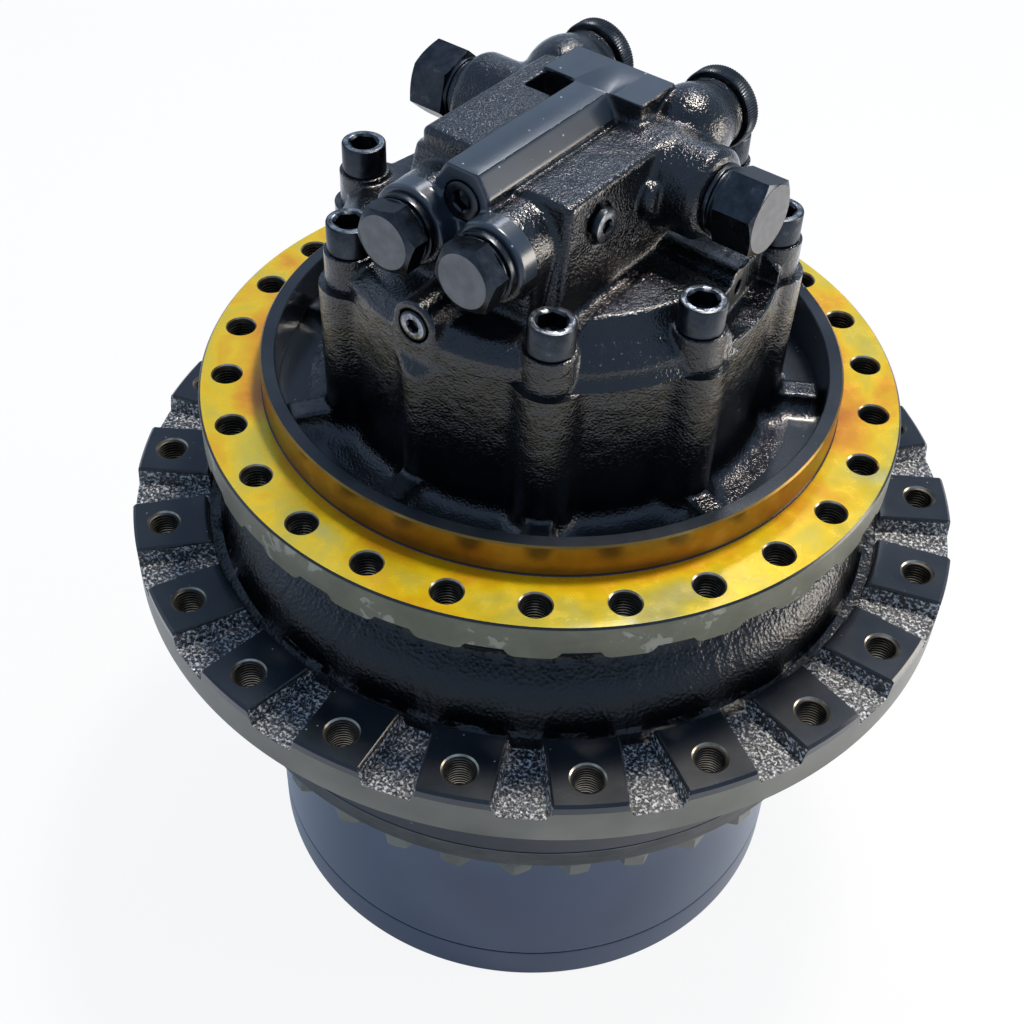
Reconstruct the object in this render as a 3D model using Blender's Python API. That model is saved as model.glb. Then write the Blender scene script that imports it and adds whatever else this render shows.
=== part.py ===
"""Travel final drive of a 30 to 35 tonne excavator: hydraulic motor, two planetary stages and sprocket hub.

Frame: Z is the drum's axis, pointing up to the motor; Z = 0 is the flat face of the end cover that it
stands on; +Y points along the valve block to its two port caps. Sizes are in millimetres, and one
function turns them into Blender's metres.
"""
import math

import bmesh
import bpy
from mathutils import Matrix, Vector

MM = 0.001
FACE_GAP = 0.3        # gap left between two pieces that touch or fit in each other

# Frame flange, which bolts to the track frame
FRAME_FACE_Z = 461.0
FRAME_BOLT_CIRCLE_R = 230.0
FRAME_FLANGE_R = FRAME_BOLT_CIRCLE_R + 19.5
FRAME_FLANGE_T = 28.0
FRAME_BOLT_COUNT = 26
FRAME_HOLE_R = 9.8
FRAME_STEPS = 52
SCALLOP_DEPTH = 5.5
SCALLOP_WIDTH = 27.0
PILOT_R = 205.0
PILOT_H = 25.0
RECESS_R = 194.5
RECESS_DEPTH = 9.0

# Motor casing, one casting with the frame flange and the spindle
CASING_STEPS = 20
CASING_R = 146.0
CASING_H = 104.0
CASING_TOP_Z = FRAME_FACE_Z + CASING_H
COLUMN_R = 20.7
COVER_BOLT_CIRCLE_R = 142.0
COVER_BOLT_ANGLES = (-163.2, -124.2, -55.8, -16.8, 31.5, 72.0, 108.0, 148.5)
BLIND_COLUMN_ANGLE = -90.0
BLIND_COLUMN_TOP_Z = 548.0
FOOT_WIDTH = 17.0
FOOT_REACH_R = 190.0
FOOT_TOP_Z = 466.0
CAVITY_R = 112.0
SWASH_CAVITY_R = 106.0
CAVITY_FLOOR_Z = 355.0
BRAKE_STEP_Z = 464.0
SHAFT_PASSAGE_R = 30.5
SHAFT_POCKET_R = 46.0
SHAFT_BEARING_T = 26.0

# Spindle and main bearings
SPINDLE_STEPS = 16
BEARING_SEAT_R = 150.0
SPINDLE_END_Z = 246.0
SPINDLE_SHOULDER_Z = 399.0
SKIRT_R = 190.0
SEAL_SKIRT_R = 166.0
SEAL_SKIRT_Z = 425.0
THREAD_STEP = 4.0
SPLINE_BORE_R = 100.0
SPLINE_BORE_TOP_Z = 300.0
BEARING_WIDTH = 48.4
INNER_RACE_R = BEARING_SEAT_R + 8.0
OUTER_RACE_R = INNER_RACE_R + 15.0
OUTER_SEAT_R = OUTER_RACE_R + 9.0
UPPER_BEARING_Z = 350.3
LOWER_BEARING_Z = 257.3
CAGE_INSET = 6.0

# Sprocket hub
HUB_STEPS = 44
HUB_BORE_STEPS = 16
HUB_R = 260.0
HUB_BOTTOM_Z = 239.0
SPROCKET_R = HUB_R + 47.5
SPROCKET_UNDER_Z = 323.0
PAD_FACE_Z = 360.4
PAD_OUTER_R = SPROCKET_R - 2.5
PAD_INNER_R = PAD_OUTER_R - 50.0
PAD_WIDTH = 55.0
GROOVE_FLOOR_Z = 347.5
SPROCKET_BOLT_CIRCLE_R = PAD_INNER_R + 30.5
SPROCKET_BOLT_COUNT = 22
SPROCKET_HOLE_R = 11.0
DRUM_REST_TURN = 1.77
BULGE_R = 240.0
NECK_R = 213.5
NECK_TOP_Z = 427.0
HUB_MOUTH_R = 196.0
SEAL_LEDGE_Z = 399.2
SEAL_FACE_Z = 412.0

# Planetary stages: both run in one ring gear, broached right through the drum's housing
MODULE = 8.0
RING_TEETH = 48
SUN_TEETH = 12
PLANET_TEETH = 18
PLANET_COUNT = 3
STAGE_1_Z = (40.0, 72.0)
STAGE_2_Z = (116.0, 206.0)
ADDENDUM = 0.9        # tooth height above the pitch circle, in modules
DEDENDUM = 1.15       # tooth depth below the pitch circle, in modules
BACKLASH = 0.8
PRESSURE_ANGLE = 20.0
PIN_1_R = 18.0
PIN_2_R = 26.0
POST_R = 22.0
POST_CIRCLE_R = 140.0
PIN_STEPS = 12
CARRIER_1_Z = 76.0
CARRIER_1_T = 18.0
CARRIER_1_R = 150.0
CARRIER_2_R = 168.0
CARRIER_2_BORE_R = 60.0
CARRIER_2_NECK_R = 45.0
CARRIER_2_TOP_Z = 238.0
CARRIER_2_UPPER_Z = 210.0
CARRIER_2_LOWER_Z = 100.0
CARRIER_2_LOWER_T = 12.0
CARRIER_2_STUB_Z = 284.0
SUN_2_BORE_R = 22.0
SUN_2_NECK_R = 36.0
SUN_STEM_R = 17.0

# Ring gear housing and end cover
RING_STEPS = 36
HOUSING_WALL = 25.5   # from the ring gear's pitch circle to the outside
HOUSING_R = MODULE * RING_TEETH / 2 + HOUSING_WALL
RING_FLANGE_T = 18.0
COVER_T = 31.0
COVER_INNER_Z = 35.7
COVER_DISH = 4.0
COVER_FOOT_R = 160.0
OIL_PLUG_R = 15.0
OIL_PLUG_T = 19.0
OIL_PLUG_CIRCLE_R = 105.0

# Hydraulic motor
SHAFT_R = 24.0
SHAFT_BEARING_R = 28.0
SHAFT_SOCKET_Z = 344.0
SHAFT_END_R = 20.0
END_POCKET_R = 32.3
END_POCKET_Z = CASING_TOP_Z + 20.0
SHAFT_END_Z = END_POCKET_Z - 1.0
SWASH_HINGE_Z = 373.0
SWASH_TILT = 15.0
SWASH_R = 82.0
SWASH_BORE_R = 36.0
SWASH_T = 24.0
SWASH_LIFT = 6.0      # from the hinge axis to the swash plate's back face
BLOCK_R = 84.0
BLOCK_Z = (458.0, 552.7)
PISTON_COUNT = 9
PISTON_R = 12.7
PISTON_CIRCLE_R = 58.0
SHOE_Z = 425.0
RETAINER_R = (38.0, 78.0)
VALVE_PLATE_T = 11.4
SERVO_Y = -70.0
SERVO_R = 9.0
SERVO_TIP_Z = 359.2
BRAKE_DISC_COUNT = 1
BRAKE_PLATE_R = 88.0
BRAKE_PLATE_T = 4.0
BRAKE_SPRING_H = 42.0
SPRING_STEPS = 24
SPRING_WAVE_COUNT = 4
SPRING_HALF_T = 4.0
BRAKE_DISC_R = 104.0
BRAKE_STROKE = 2.0

# Motor cover and valve block
COVER_FLANGE_T = 12.0
COVER_RIM_Z = CASING_TOP_Z + COVER_FLANGE_T
COVER_RIM_R = 148.0
BODY_FOOT_Z = COVER_RIM_Z + 11.0
COVER_BOSS_R = 17.3
HEAD_SEAT_Z = COVER_RIM_Z + 14.0
CAP_SCREW_HEAD_R = 15.0
CAP_SCREW_HEAD_H = 20.0
CAP_SCREW_SOCKET = 17.0
CAP_SCREW_R = 10.0
CAP_SCREW_HOLE_R = 12.0
CAP_SCREW_GRIP = 32.0
BLOCK_H = 86.0
BLOCK_TOP_Z = BODY_FOOT_Z + BLOCK_H
RIGHT_SHOULDER_Z = BLOCK_TOP_Z - 15.0
LEFT_SHOULDER_Z = BLOCK_TOP_Z - 3.0
BLOCK_HALF_W = 62.0
BLOCK_FRONT_Y = -78.0
BLOCK_BACK_Y = 63.0
BAR_HALF_W = 12.0
BAR_FRONT_Y = -104.0
CROSSBAR_HALF_W = 38.5
CROSSBAR_FRONT_Y = 25.3
SPOOL_Y = 30.0
SPOOL_Z = BLOCK_TOP_Z - 43.0
SPOOL_BORE_R = 17.0
SPOOL_STROKE = 6.0
SPOOL_BOSS_R = 31.0
SPOOL_BOSS_X = 99.0
SPOOL_CAP_X = 136.0
SPOOL_CAP_FLATS = 50.0
SPOOL_CAP_SHANK = 24.0
RELIEF_X = 30.5
RELIEF_Z = BLOCK_TOP_Z - 46.0
RELIEF_BORE_R = 17.0
RELIEF_BORE_DEPTH = 88.0
RELIEF_BOSS_R = 27.0
RELIEF_BOSS_Y = -118.0
RELIEF_FACE_Y = -141.0
RELIEF_FLATS = 41.0
PORT_X = 49.5
PORT_Z = BLOCK_TOP_Z - 28.0
PORT_BORE_R = 16.0
PORT_BORE_DEPTH = 42.0
PORT_BOSS_R = 25.0
PORT_BOSS_Y = 104.0
PORT_CAP_R = 27.5
PORT_CAP_T = 13.0
DRAIN_ARM_Y = 23.0
DRAIN_ARM_Z = COVER_RIM_Z + 2.0
DRAIN_ARM_R = 13.0
DRAIN_ARM_X = 125.0
DRAIN_BORE_R = 5.0
DRAIN_BORE_DEPTH = 25.0
SIDE_PLUG_Y = -50.0
SIDE_PLUG_Z = BLOCK_TOP_Z - 37.0
SIDE_PLUG_R = 11.5
SIDE_PLUG_T = 16.0
SIDE_PLUG_SHANK_R = 6.5
SIDE_PLUG_SEAT = 5.4    # the flange stands this far out of the sloping side face
LUG_Y = -149.5
LUG_HALF_W = 17.0
LUG_LENGTH = 44.5
LUG_Z = COVER_RIM_Z + 9.0
LUG_PLUG_R = 11.0
BAR_PLUG_R = 13.0
BAR_PLUG_T = 13.0
BAR_PLUG_Z = BLOCK_TOP_Z - 22.0

BLACK_PAINT = ((0.012, 0.014, 0.017), 0.0, 0.32)
BARE_STEEL = ((0.3, 0.3, 0.28), 0.9, 0.35)
OXIDE_STEEL = ((0.03, 0.03, 0.035), 0.8, 0.35)
BRONZE = ((0.42, 0.25, 0.1), 0.9, 0.35)
GEAR_STEEL = ((0.22, 0.22, 0.23), 0.95, 0.3)


def start_clean():
    for old in list(bpy.data.objects):
        bpy.data.objects.remove(old, do_unlink=True)


def group(name, parent=None):
    """An empty on the drum's axis that the pieces of one moving group hang from."""
    empty = bpy.data.objects.new(name, None)
    bpy.context.scene.collection.objects.link(empty)
    empty.parent = parent
    return empty


def on_circle(r, degrees):
    return r * math.cos(math.radians(degrees)), r * math.sin(math.radians(degrees))


def even_angles(count, start=0.0):
    return [start + 360.0 * k / count for k in range(count)]


def turn_profile(bm, profile, steps, phase=0.0):
    """Turns a closed outline of (radius, z) points about the Z axis; radius 0 is a point on the axis."""
    rings = []
    for r, z in profile:
        if r < 1e-6:
            rings.append([bm.verts.new((0, 0, z))])
        else:
            rings.append([bm.verts.new((*on_circle(r, a), z)) for a in even_angles(steps, phase)])
    for k, low in enumerate(rings):
        high = rings[(k + 1) % len(rings)]
        if len(low) == 1 and len(high) == 1:
            continue
        for i in range(steps):
            j = (i + 1) % steps
            corners = [low[i % len(low)], low[j % len(low)], high[j % len(high)], high[i % len(high)]]
            unique = [v for n, v in enumerate(corners) if v not in corners[:n]]
            bm.faces.new(unique)


def extrude_outlines(bm, loops, z_low, z_high):
    """Fills an outline with holes in it and raises it into a plate; loops are lists of (x, y)."""
    edges = []
    for loop in loops:
        verts = [bm.verts.new((x, y, z_low)) for x, y in loop]
        edges += [bm.edges.new((verts[k - 1], verts[k])) for k in range(len(verts))]
    filled = bmesh.ops.triangle_fill(bm, use_beauty=True, edges=edges)
    faces = [g for g in filled["geom"] if isinstance(g, bmesh.types.BMFace)]
    raised = bmesh.ops.extrude_face_region(bm, geom=faces, use_keep_orig=True)
    verts = [g for g in raised["geom"] if isinstance(g, bmesh.types.BMVert)]
    bmesh.ops.translate(bm, verts=verts, vec=(0, 0, z_high - z_low))


def circle(r, steps, centre=(0.0, 0.0), phase=0.0):
    points = [on_circle(r, a) for a in even_angles(steps, phase)]
    return [(centre[0] + x, centre[1] + y) for x, y in points]


def clear_of(r, steps):
    """Radius of a facetted hole, or of a ring's bore, that a round piece of radius r turns freely in."""
    return (r + FACE_GAP) / math.cos(math.pi / steps)


def hexagon(flats, phase=0.0):
    return circle(flats / math.sqrt(3), 6, phase=phase)


def rod(bm, start, end, r, steps=16, end_r=None, phase=0.0):
    """A straight round bar or cone between two points."""
    start, end = Vector(start), Vector(end)
    axis = end - start
    place = Matrix.Translation(start) @ axis.to_track_quat("Z", "Y").to_matrix().to_4x4()
    end_r = r if end_r is None else end_r
    rings = []
    for radius, z in ((r, 0.0), (end_r, axis.length)):
        outline = circle(radius, steps, phase=phase)
        rings.append([bm.verts.new(place @ Vector((x, y, z))) for x, y in outline])
    bm.faces.new(list(reversed(rings[0])))
    bm.faces.new(rings[1])
    for i in range(steps):
        j = (i + 1) % steps
        bm.faces.new((rings[0][i], rings[0][j], rings[1][j], rings[1][i]))


def turned_on(bm, profile, steps, place, phase=0.0):
    """Turns a profile about an axis that the matrix place puts elsewhere."""
    piece = bmesh.new()
    turn_profile(piece, profile, steps, phase)
    merge(bm, piece, place)


def box(bm, low, high):
    corners = [bm.verts.new((x, y, z)) for z in (low[2], high[2]) for y in (low[1], high[1])
               for x in (low[0], high[0])]
    for face in ((0, 2, 3, 1), (4, 5, 7, 6), (0, 1, 5, 4), (2, 6, 7, 3), (0, 4, 6, 2), (1, 3, 7, 5)):
        bm.faces.new([corners[k] for k in face])


def merge(bm, other, place=Matrix.Identity(4)):
    """Copies another mesh into this one, moved by a matrix, and frees it."""
    verts = {v: bm.verts.new(place @ v.co) for v in other.verts}
    for face in other.faces:
        bm.faces.new([verts[v] for v in face.verts])
    other.free()


def along(axis, origin):
    """Matrix that puts a shape turned about Z onto another axis through a point."""
    return Matrix.Translation(Vector(origin)) @ Vector(axis).to_track_quat("Z", "Y").to_matrix().to_4x4()


def make(name, bm, finish=None, origin=(0, 0, 0), parent=None):
    """Turns a mesh in millimetres into a named object with its origin on its own axis."""
    bmesh.ops.translate(bm, verts=bm.verts, vec=-Vector(origin))
    bmesh.ops.scale(bm, verts=bm.verts, vec=(MM, MM, MM))
    bmesh.ops.recalc_face_normals(bm, faces=bm.faces)
    mesh = bpy.data.meshes.new(name)
    bm.to_mesh(mesh)
    bm.free()
    mesh.shade_smooth()
    mesh.set_sharp_from_angle(angle=math.radians(32))
    piece = bpy.data.objects.new(name, mesh)
    bpy.context.scene.collection.objects.link(piece)
    piece.location = Vector(origin) * MM
    piece.parent = parent
    if finish:
        colour, metallic, roughness = finish
        material = bpy.data.materials.new(name)
        material.use_nodes = True
        shader = material.node_tree.nodes["Principled BSDF"]
        shader.inputs["Base Color"].default_value = (*colour, 1)
        shader.inputs["Metallic"].default_value = metallic
        shader.inputs["Roughness"].default_value = roughness
        mesh.materials.append(material)
    else:
        piece.hide_render = True
        piece.display_type = "WIRE"
    return piece


def combine(target, helper, operation):
    """Adds, or cuts away, a hidden helper shape."""
    helper.parent = target.parent
    step = target.modifiers.new(operation.lower(), "BOOLEAN")
    step.operation = operation
    step.solver = "EXACT"
    step.object = helper


def add_shape(target, name, build):
    bm = bmesh.new()
    build(bm)
    combine(target, make(name, bm), "UNION")


def cut_shape(target, name, build):
    bm = bmesh.new()
    build(bm)
    combine(target, make(name, bm), "DIFFERENCE")


def turned_piece(name, profile, steps, finish, parent=None, phase=0.0):
    bm = bmesh.new()
    turn_profile(bm, profile, steps, phase)
    return make(name, bm, finish, parent=parent)


def ring_profile(inner, outer, low, high, bevel=0.0):
    """A plain ring's section, with its outer edges bevelled if asked."""
    if not bevel:
        return [(outer, high), (outer, low), (inner, low), (inner, high)]
    return [(outer - bevel, high), (outer, high - bevel), (outer, low + bevel), (outer - bevel, low),
            (inner, low), (inner, high)]


# Gear teeth
def involute(angle):
    return math.tan(angle) - angle


def tooth_half_angle(r, teeth, slack):
    """Half the angle that a tooth fills at a radius; with negative slack, that of a ring gear's space."""
    pitch_r = teeth * MODULE / 2
    base_r = pitch_r * math.cos(math.radians(PRESSURE_ANGLE))
    at_r = math.acos(base_r / r) if r > base_r else 0.0
    start = math.pi / (2 * teeth) - slack / (2 * pitch_r)
    return start + involute(math.radians(PRESSURE_ANGLE)) - involute(at_r)


def gear_outline(teeth, phase):
    """Outline of an external gear; the phase is the middle of one tooth, in degrees."""
    root_r = (teeth / 2 - DEDENDUM) * MODULE
    tip_r = (teeth / 2 + ADDENDUM) * MODULE
    widest = 0.82 * math.pi / teeth
    root = math.degrees(min(tooth_half_angle(root_r, teeth, BACKLASH), widest))
    tip = math.degrees(tooth_half_angle(tip_r, teeth, BACKLASH))
    points = []
    for middle in even_angles(teeth, phase):
        points += [on_circle(root_r, middle - root), on_circle(tip_r, middle - tip)]
        points += [on_circle(tip_r, middle + tip), on_circle(root_r, middle + root)]
    return points


def ring_gear_outline():
    """Outline of the hollow inside the ring gear, turned so that the planets at rest are in mesh."""
    tip_r = (RING_TEETH / 2 - ADDENDUM) * MODULE
    root_r = (RING_TEETH / 2 + DEDENDUM) * MODULE
    tip = math.degrees(tooth_half_angle(tip_r, RING_TEETH, -BACKLASH))
    root = math.degrees(tooth_half_angle(root_r, RING_TEETH, -BACKLASH))
    phase = -360.0 / RING_TEETH * (1 - PLANET_TEETH) / 2
    points = []
    for middle in even_angles(RING_TEETH, phase):
        points += [on_circle(tip_r, middle - tip), on_circle(root_r, middle - root)]
        points += [on_circle(root_r, middle + root), on_circle(tip_r, middle + tip)]
    return points


def planet_centre(k):
    return on_circle((SUN_TEETH + PLANET_TEETH) * MODULE / 2, 360.0 * k / PLANET_COUNT)


def planet_phase(k):
    """Phase in degrees that puts planet k in mesh with a sun that has a tooth at 0 degrees."""
    passed = k * SUN_TEETH / PLANET_COUNT - 0.5
    return 360.0 * k / PLANET_COUNT + 180.0 + 360.0 / PLANET_TEETH * passed


def planet_gears(name, span_z, pin_r, parent):
    """The planets of one stage, each with its origin on its own pin."""
    for k in range(PLANET_COUNT):
        x, y = planet_centre(k)
        bm = bmesh.new()
        teeth = gear_outline(PLANET_TEETH, planet_phase(k))
        extrude_outlines(bm, [teeth, circle(clear_of(pin_r, PIN_STEPS), PIN_STEPS)], *span_z)
        bmesh.ops.translate(bm, verts=bm.verts, vec=(x, y, 0))
        make(f"{name}_{k + 1}", bm, GEAR_STEEL, origin=(x, y, span_z[0]), parent=parent)


# Fixed side: spindle casing
def lobed_outline(wall_r, lobe_r):
    """A round wall with a lobe around each cover screw, as one outline."""
    reach = math.degrees(math.asin(lobe_r * 0.92 / wall_r))
    points = []
    angles = sorted(COVER_BOLT_ANGLES)
    for k, angle in enumerate(angles):
        x, y = on_circle(COVER_BOLT_CIRCLE_R, angle)
        for turn in (-78, -39, 0, 39, 78):
            dx, dy = on_circle(lobe_r, angle + turn)
            points.append((x + dx, y + dy))
        following = angles[(k + 1) % len(angles)] + (360 if k == len(angles) - 1 else 0)
        gap = following - angle - 2 * reach
        count = max(1, round(gap / 14))
        points += [on_circle(wall_r, angle + reach + gap * (n + 0.5) / count) for n in range(count)]
    return points


def spindle_tube_profile():
    """The spindle inside the hub, with the bearing seats, and the cavities inside it."""
    thread_r = BEARING_SEAT_R - THREAD_STEP
    bearing_pocket_z = CAVITY_FLOOR_Z - SHAFT_BEARING_T
    recess_z = FRAME_FACE_Z - RECESS_DEPTH
    return [
        (CAVITY_R + 18, BRAKE_STEP_Z), (CAVITY_R + 18, recess_z), (RECESS_R + 6, recess_z),
        (RECESS_R + 6, recess_z - 6), (SKIRT_R, recess_z - 15), (SKIRT_R, SEAL_SKIRT_Z),
        (SEAL_SKIRT_R, SEAL_SKIRT_Z), (SEAL_SKIRT_R, SPINDLE_SHOULDER_Z), (BEARING_SEAT_R, SPINDLE_SHOULDER_Z),
        (BEARING_SEAT_R, LOWER_BEARING_Z - FACE_GAP), (thread_r, LOWER_BEARING_Z - FACE_GAP),
        (thread_r, SPINDLE_END_Z), (SPLINE_BORE_R, SPINDLE_END_Z), (SPLINE_BORE_R, SPLINE_BORE_TOP_Z),
        (SHAFT_PASSAGE_R, SPLINE_BORE_TOP_Z), (SHAFT_PASSAGE_R, bearing_pocket_z),
        (SHAFT_POCKET_R, bearing_pocket_z), (SHAFT_POCKET_R, CAVITY_FLOOR_Z), (SWASH_CAVITY_R, CAVITY_FLOOR_Z),
        (SWASH_CAVITY_R, BRAKE_STEP_Z),
    ]


def frame_flange_profile():
    pilot_top = FRAME_FACE_Z + PILOT_H
    underside = FRAME_FACE_Z - FRAME_FLANGE_T
    return [(RECESS_R, pilot_top), (PILOT_R, pilot_top), (PILOT_R, FRAME_FACE_Z),
            (FRAME_FLANGE_R, FRAME_FACE_Z), (FRAME_FLANGE_R, underside), (RECESS_R, underside)]


def motor_casing(bm):
    """The casing around the brake and the cylinder block, with a column for each cover screw."""
    extrude_outlines(bm, [lobed_outline(CASING_R, COLUMN_R), circle(CAVITY_R, SPINDLE_STEPS)],
                     BRAKE_STEP_Z - 14, CASING_TOP_Z)


def blind_column(bm):
    x, y = on_circle(COVER_BOLT_CIRCLE_R - 3, BLIND_COLUMN_ANGLE)
    rod(bm, (x, y, FRAME_FACE_Z - 13), (x, y, BLIND_COLUMN_TOP_Z), 15, 8)


def casing_feet(bm):
    for angle in COVER_BOLT_ANGLES:
        foot = bmesh.new()
        box(foot, (CASING_R - 2, -FOOT_WIDTH / 2, FRAME_FACE_Z - RECESS_DEPTH - 4),
            (FOOT_REACH_R, FOOT_WIDTH / 2, FOOT_TOP_Z))
        merge(bm, foot, Matrix.Rotation(math.radians(angle), 4, "Z"))


def frame_holes(bm):
    for angle in even_angles(FRAME_BOLT_COUNT):
        x, y = on_circle(FRAME_BOLT_CIRCLE_R, angle)
        rod(bm, (x, y, FRAME_FACE_Z - FRAME_FLANGE_T - 2), (x, y, FRAME_FACE_Z + 2), FRAME_HOLE_R, 8,
            phase=angle + 22.5)


def rim_scallops(bm):
    """Shallow reliefs in the rim's lower edge, one between each pair of bolt holes."""
    low = FRAME_FACE_Z - FRAME_FLANGE_T - 2
    high = FRAME_FACE_Z - FRAME_FLANGE_T + SCALLOP_DEPTH
    half_low, half_high = SCALLOP_WIDTH / 2 + 2.5, SCALLOP_WIDTH / 2 - 2.5
    for angle in even_angles(FRAME_BOLT_COUNT, 180.0 / FRAME_BOLT_COUNT):
        notch = bmesh.new()
        section = [(-half_low, low), (half_low, low), (half_high, high), (-half_high, high)]
        inner = [notch.verts.new((FRAME_FLANGE_R - 8, y, z)) for y, z in section]
        outer = [notch.verts.new((FRAME_FLANGE_R + 4, y, z)) for y, z in section]
        notch.faces.new(inner)
        notch.faces.new(list(reversed(outer)))
        for k in range(4):
            notch.faces.new((inner[k - 1], inner[k], outer[k], outer[k - 1]))
        merge(bm, notch, Matrix.Rotation(math.radians(angle), 4, "Z"))


def screw_tappings(bm):
    """Holes for the cover screws, down through each column's top."""
    for angle in COVER_BOLT_ANGLES:
        x, y = on_circle(COVER_BOLT_CIRCLE_R, angle)
        rod(bm, (x, y, CASING_TOP_Z - CAP_SCREW_GRIP - 4), (x, y, CASING_TOP_Z + 2),
            CAP_SCREW_HOLE_R, 6, phase=angle)


def servo_bore(bm):
    rod(bm, (0, SERVO_Y, CAVITY_FLOOR_Z - 30), (0, SERVO_Y, CAVITY_FLOOR_Z + 2), SERVO_R + 1, 8)


def build_spindle():
    spindle = turned_piece("spindle_casing", spindle_tube_profile(), SPINDLE_STEPS, BLACK_PAINT)
    add_shape(spindle, "motor_casing", motor_casing)
    add_shape(spindle, "frame_flange", lambda bm: turn_profile(
        bm, frame_flange_profile(), FRAME_STEPS, 180.0 / FRAME_STEPS))
    for name, build in (("casing_feet", casing_feet), ("blind_column", blind_column)):
        add_shape(spindle, name, build)
    for name, build in (("frame_hole_cutter", frame_holes), ("scallop_cutter", rim_scallops),
                        ("screw_tapping_cutter", screw_tappings), ("servo_bore_cutter", servo_bore)):
        cut_shape(spindle, name, build)


# Drum side: sprocket hub
def hub_profile():
    return [
        (HUB_R, HUB_BOTTOM_Z + FACE_GAP / 2), (HUB_R, SPROCKET_UNDER_Z), (SPROCKET_R, SPROCKET_UNDER_Z),
        (SPROCKET_R, PAD_FACE_Z - 3), (PAD_OUTER_R, PAD_FACE_Z), (PAD_INNER_R, PAD_FACE_Z),
        (PAD_INNER_R - 3, GROOVE_FLOOR_Z), (BULGE_R + 3, GROOVE_FLOOR_Z), (BULGE_R + 1, PAD_FACE_Z + 3),
        (BULGE_R - 9, PAD_FACE_Z + 18), (NECK_R, PAD_FACE_Z + 31), (NECK_R, NECK_TOP_Z),
        (HUB_MOUTH_R, NECK_TOP_Z), (HUB_MOUTH_R, HUB_BOTTOM_Z + FACE_GAP / 2),
    ]


def hub_core_profile():
    """The hub's web, with the seats for both bearings' outer rings and the ledge for the seal."""
    seat_low = UPPER_BEARING_Z - FACE_GAP
    shoulder_low = LOWER_BEARING_Z + BEARING_WIDTH + FACE_GAP
    return [
        (HUB_MOUTH_R + 8, SEAL_LEDGE_Z), (OUTER_SEAT_R, SEAL_LEDGE_Z), (OUTER_SEAT_R, seat_low),
        (OUTER_RACE_R + 2, seat_low), (OUTER_RACE_R + 2, shoulder_low), (OUTER_SEAT_R, shoulder_low),
        (OUTER_SEAT_R, LOWER_BEARING_Z - 1), (HUB_MOUTH_R + 8, LOWER_BEARING_Z - 1),
    ]


def pad_grooves(bm):
    """Wedges between the sprocket pads: each leaves its two neighbours with parallel sides."""
    pitch = 360.0 / SPROCKET_BOLT_COUNT
    inner_r, outer_r = PAD_INNER_R - 8, SPROCKET_R + 5
    for angle in even_angles(SPROCKET_BOLT_COUNT, DRUM_REST_TURN + pitch / 2):
        groove = bmesh.new()
        rings = []
        for r in (inner_r, outer_r):
            half = r * math.sin(math.radians(pitch / 2)) - PAD_WIDTH / 2
            lean = 4.0
            rings.append([groove.verts.new((r, y, z)) for y, z in (
                (-half + lean, GROOVE_FLOOR_Z), (half - lean, GROOVE_FLOOR_Z),
                (half + 0.6, PAD_FACE_Z + 2), (-half - 0.6, PAD_FACE_Z + 2))])
        groove.faces.new(rings[0])
        groove.faces.new(list(reversed(rings[1])))
        for k in range(4):
            groove.faces.new((rings[0][k - 1], rings[0][k], rings[1][k], rings[1][k - 1]))
        merge(bm, groove, Matrix.Rotation(math.radians(angle), 4, "Z"))


def sprocket_holes(bm):
    for angle in even_angles(SPROCKET_BOLT_COUNT, DRUM_REST_TURN):
        x, y = on_circle(SPROCKET_BOLT_CIRCLE_R, angle)
        rod(bm, (x, y, SPROCKET_UNDER_Z - 2), (x, y, PAD_FACE_Z + 2), SPROCKET_HOLE_R, 8, phase=angle + 22.5)


def build_hub(drum):
    bm = bmesh.new()
    turn_profile(bm, hub_profile(), HUB_STEPS, DRUM_REST_TURN + 180.0 / HUB_STEPS)
    hub = make("sprocket_hub", bm, BLACK_PAINT, parent=drum)
    add_shape(hub, "hub_core", lambda bm: turn_profile(bm, hub_core_profile(), HUB_BORE_STEPS))
    cut_shape(hub, "groove_cutter", pad_grooves)
    cut_shape(hub, "sprocket_hole_cutter", sprocket_holes)


# Drum side: ring gear housing and end cover
def housing_profile():
    flange_low = HUB_BOTTOM_Z - RING_FLANGE_T
    top = HUB_BOTTOM_Z - FACE_GAP / 2
    inside_r = (RING_TEETH / 2 - ADDENDUM) * MODULE - 3
    return [
        (HUB_R, top), (HUB_R, flange_low), (HOUSING_R, flange_low), (HOUSING_R, COVER_T + FACE_GAP / 2),
        (inside_r, COVER_T + FACE_GAP / 2), (inside_r, top),
    ]


def build_ring_gear(drum):
    housing = turned_piece("ring_gear_housing", housing_profile(), RING_STEPS, OXIDE_STEEL, drum)
    cut_shape(housing, "tooth_space_cutter", lambda bm: extrude_outlines(
        bm, [ring_gear_outline()], COVER_T - 3, HUB_BOTTOM_Z + 3))


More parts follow.
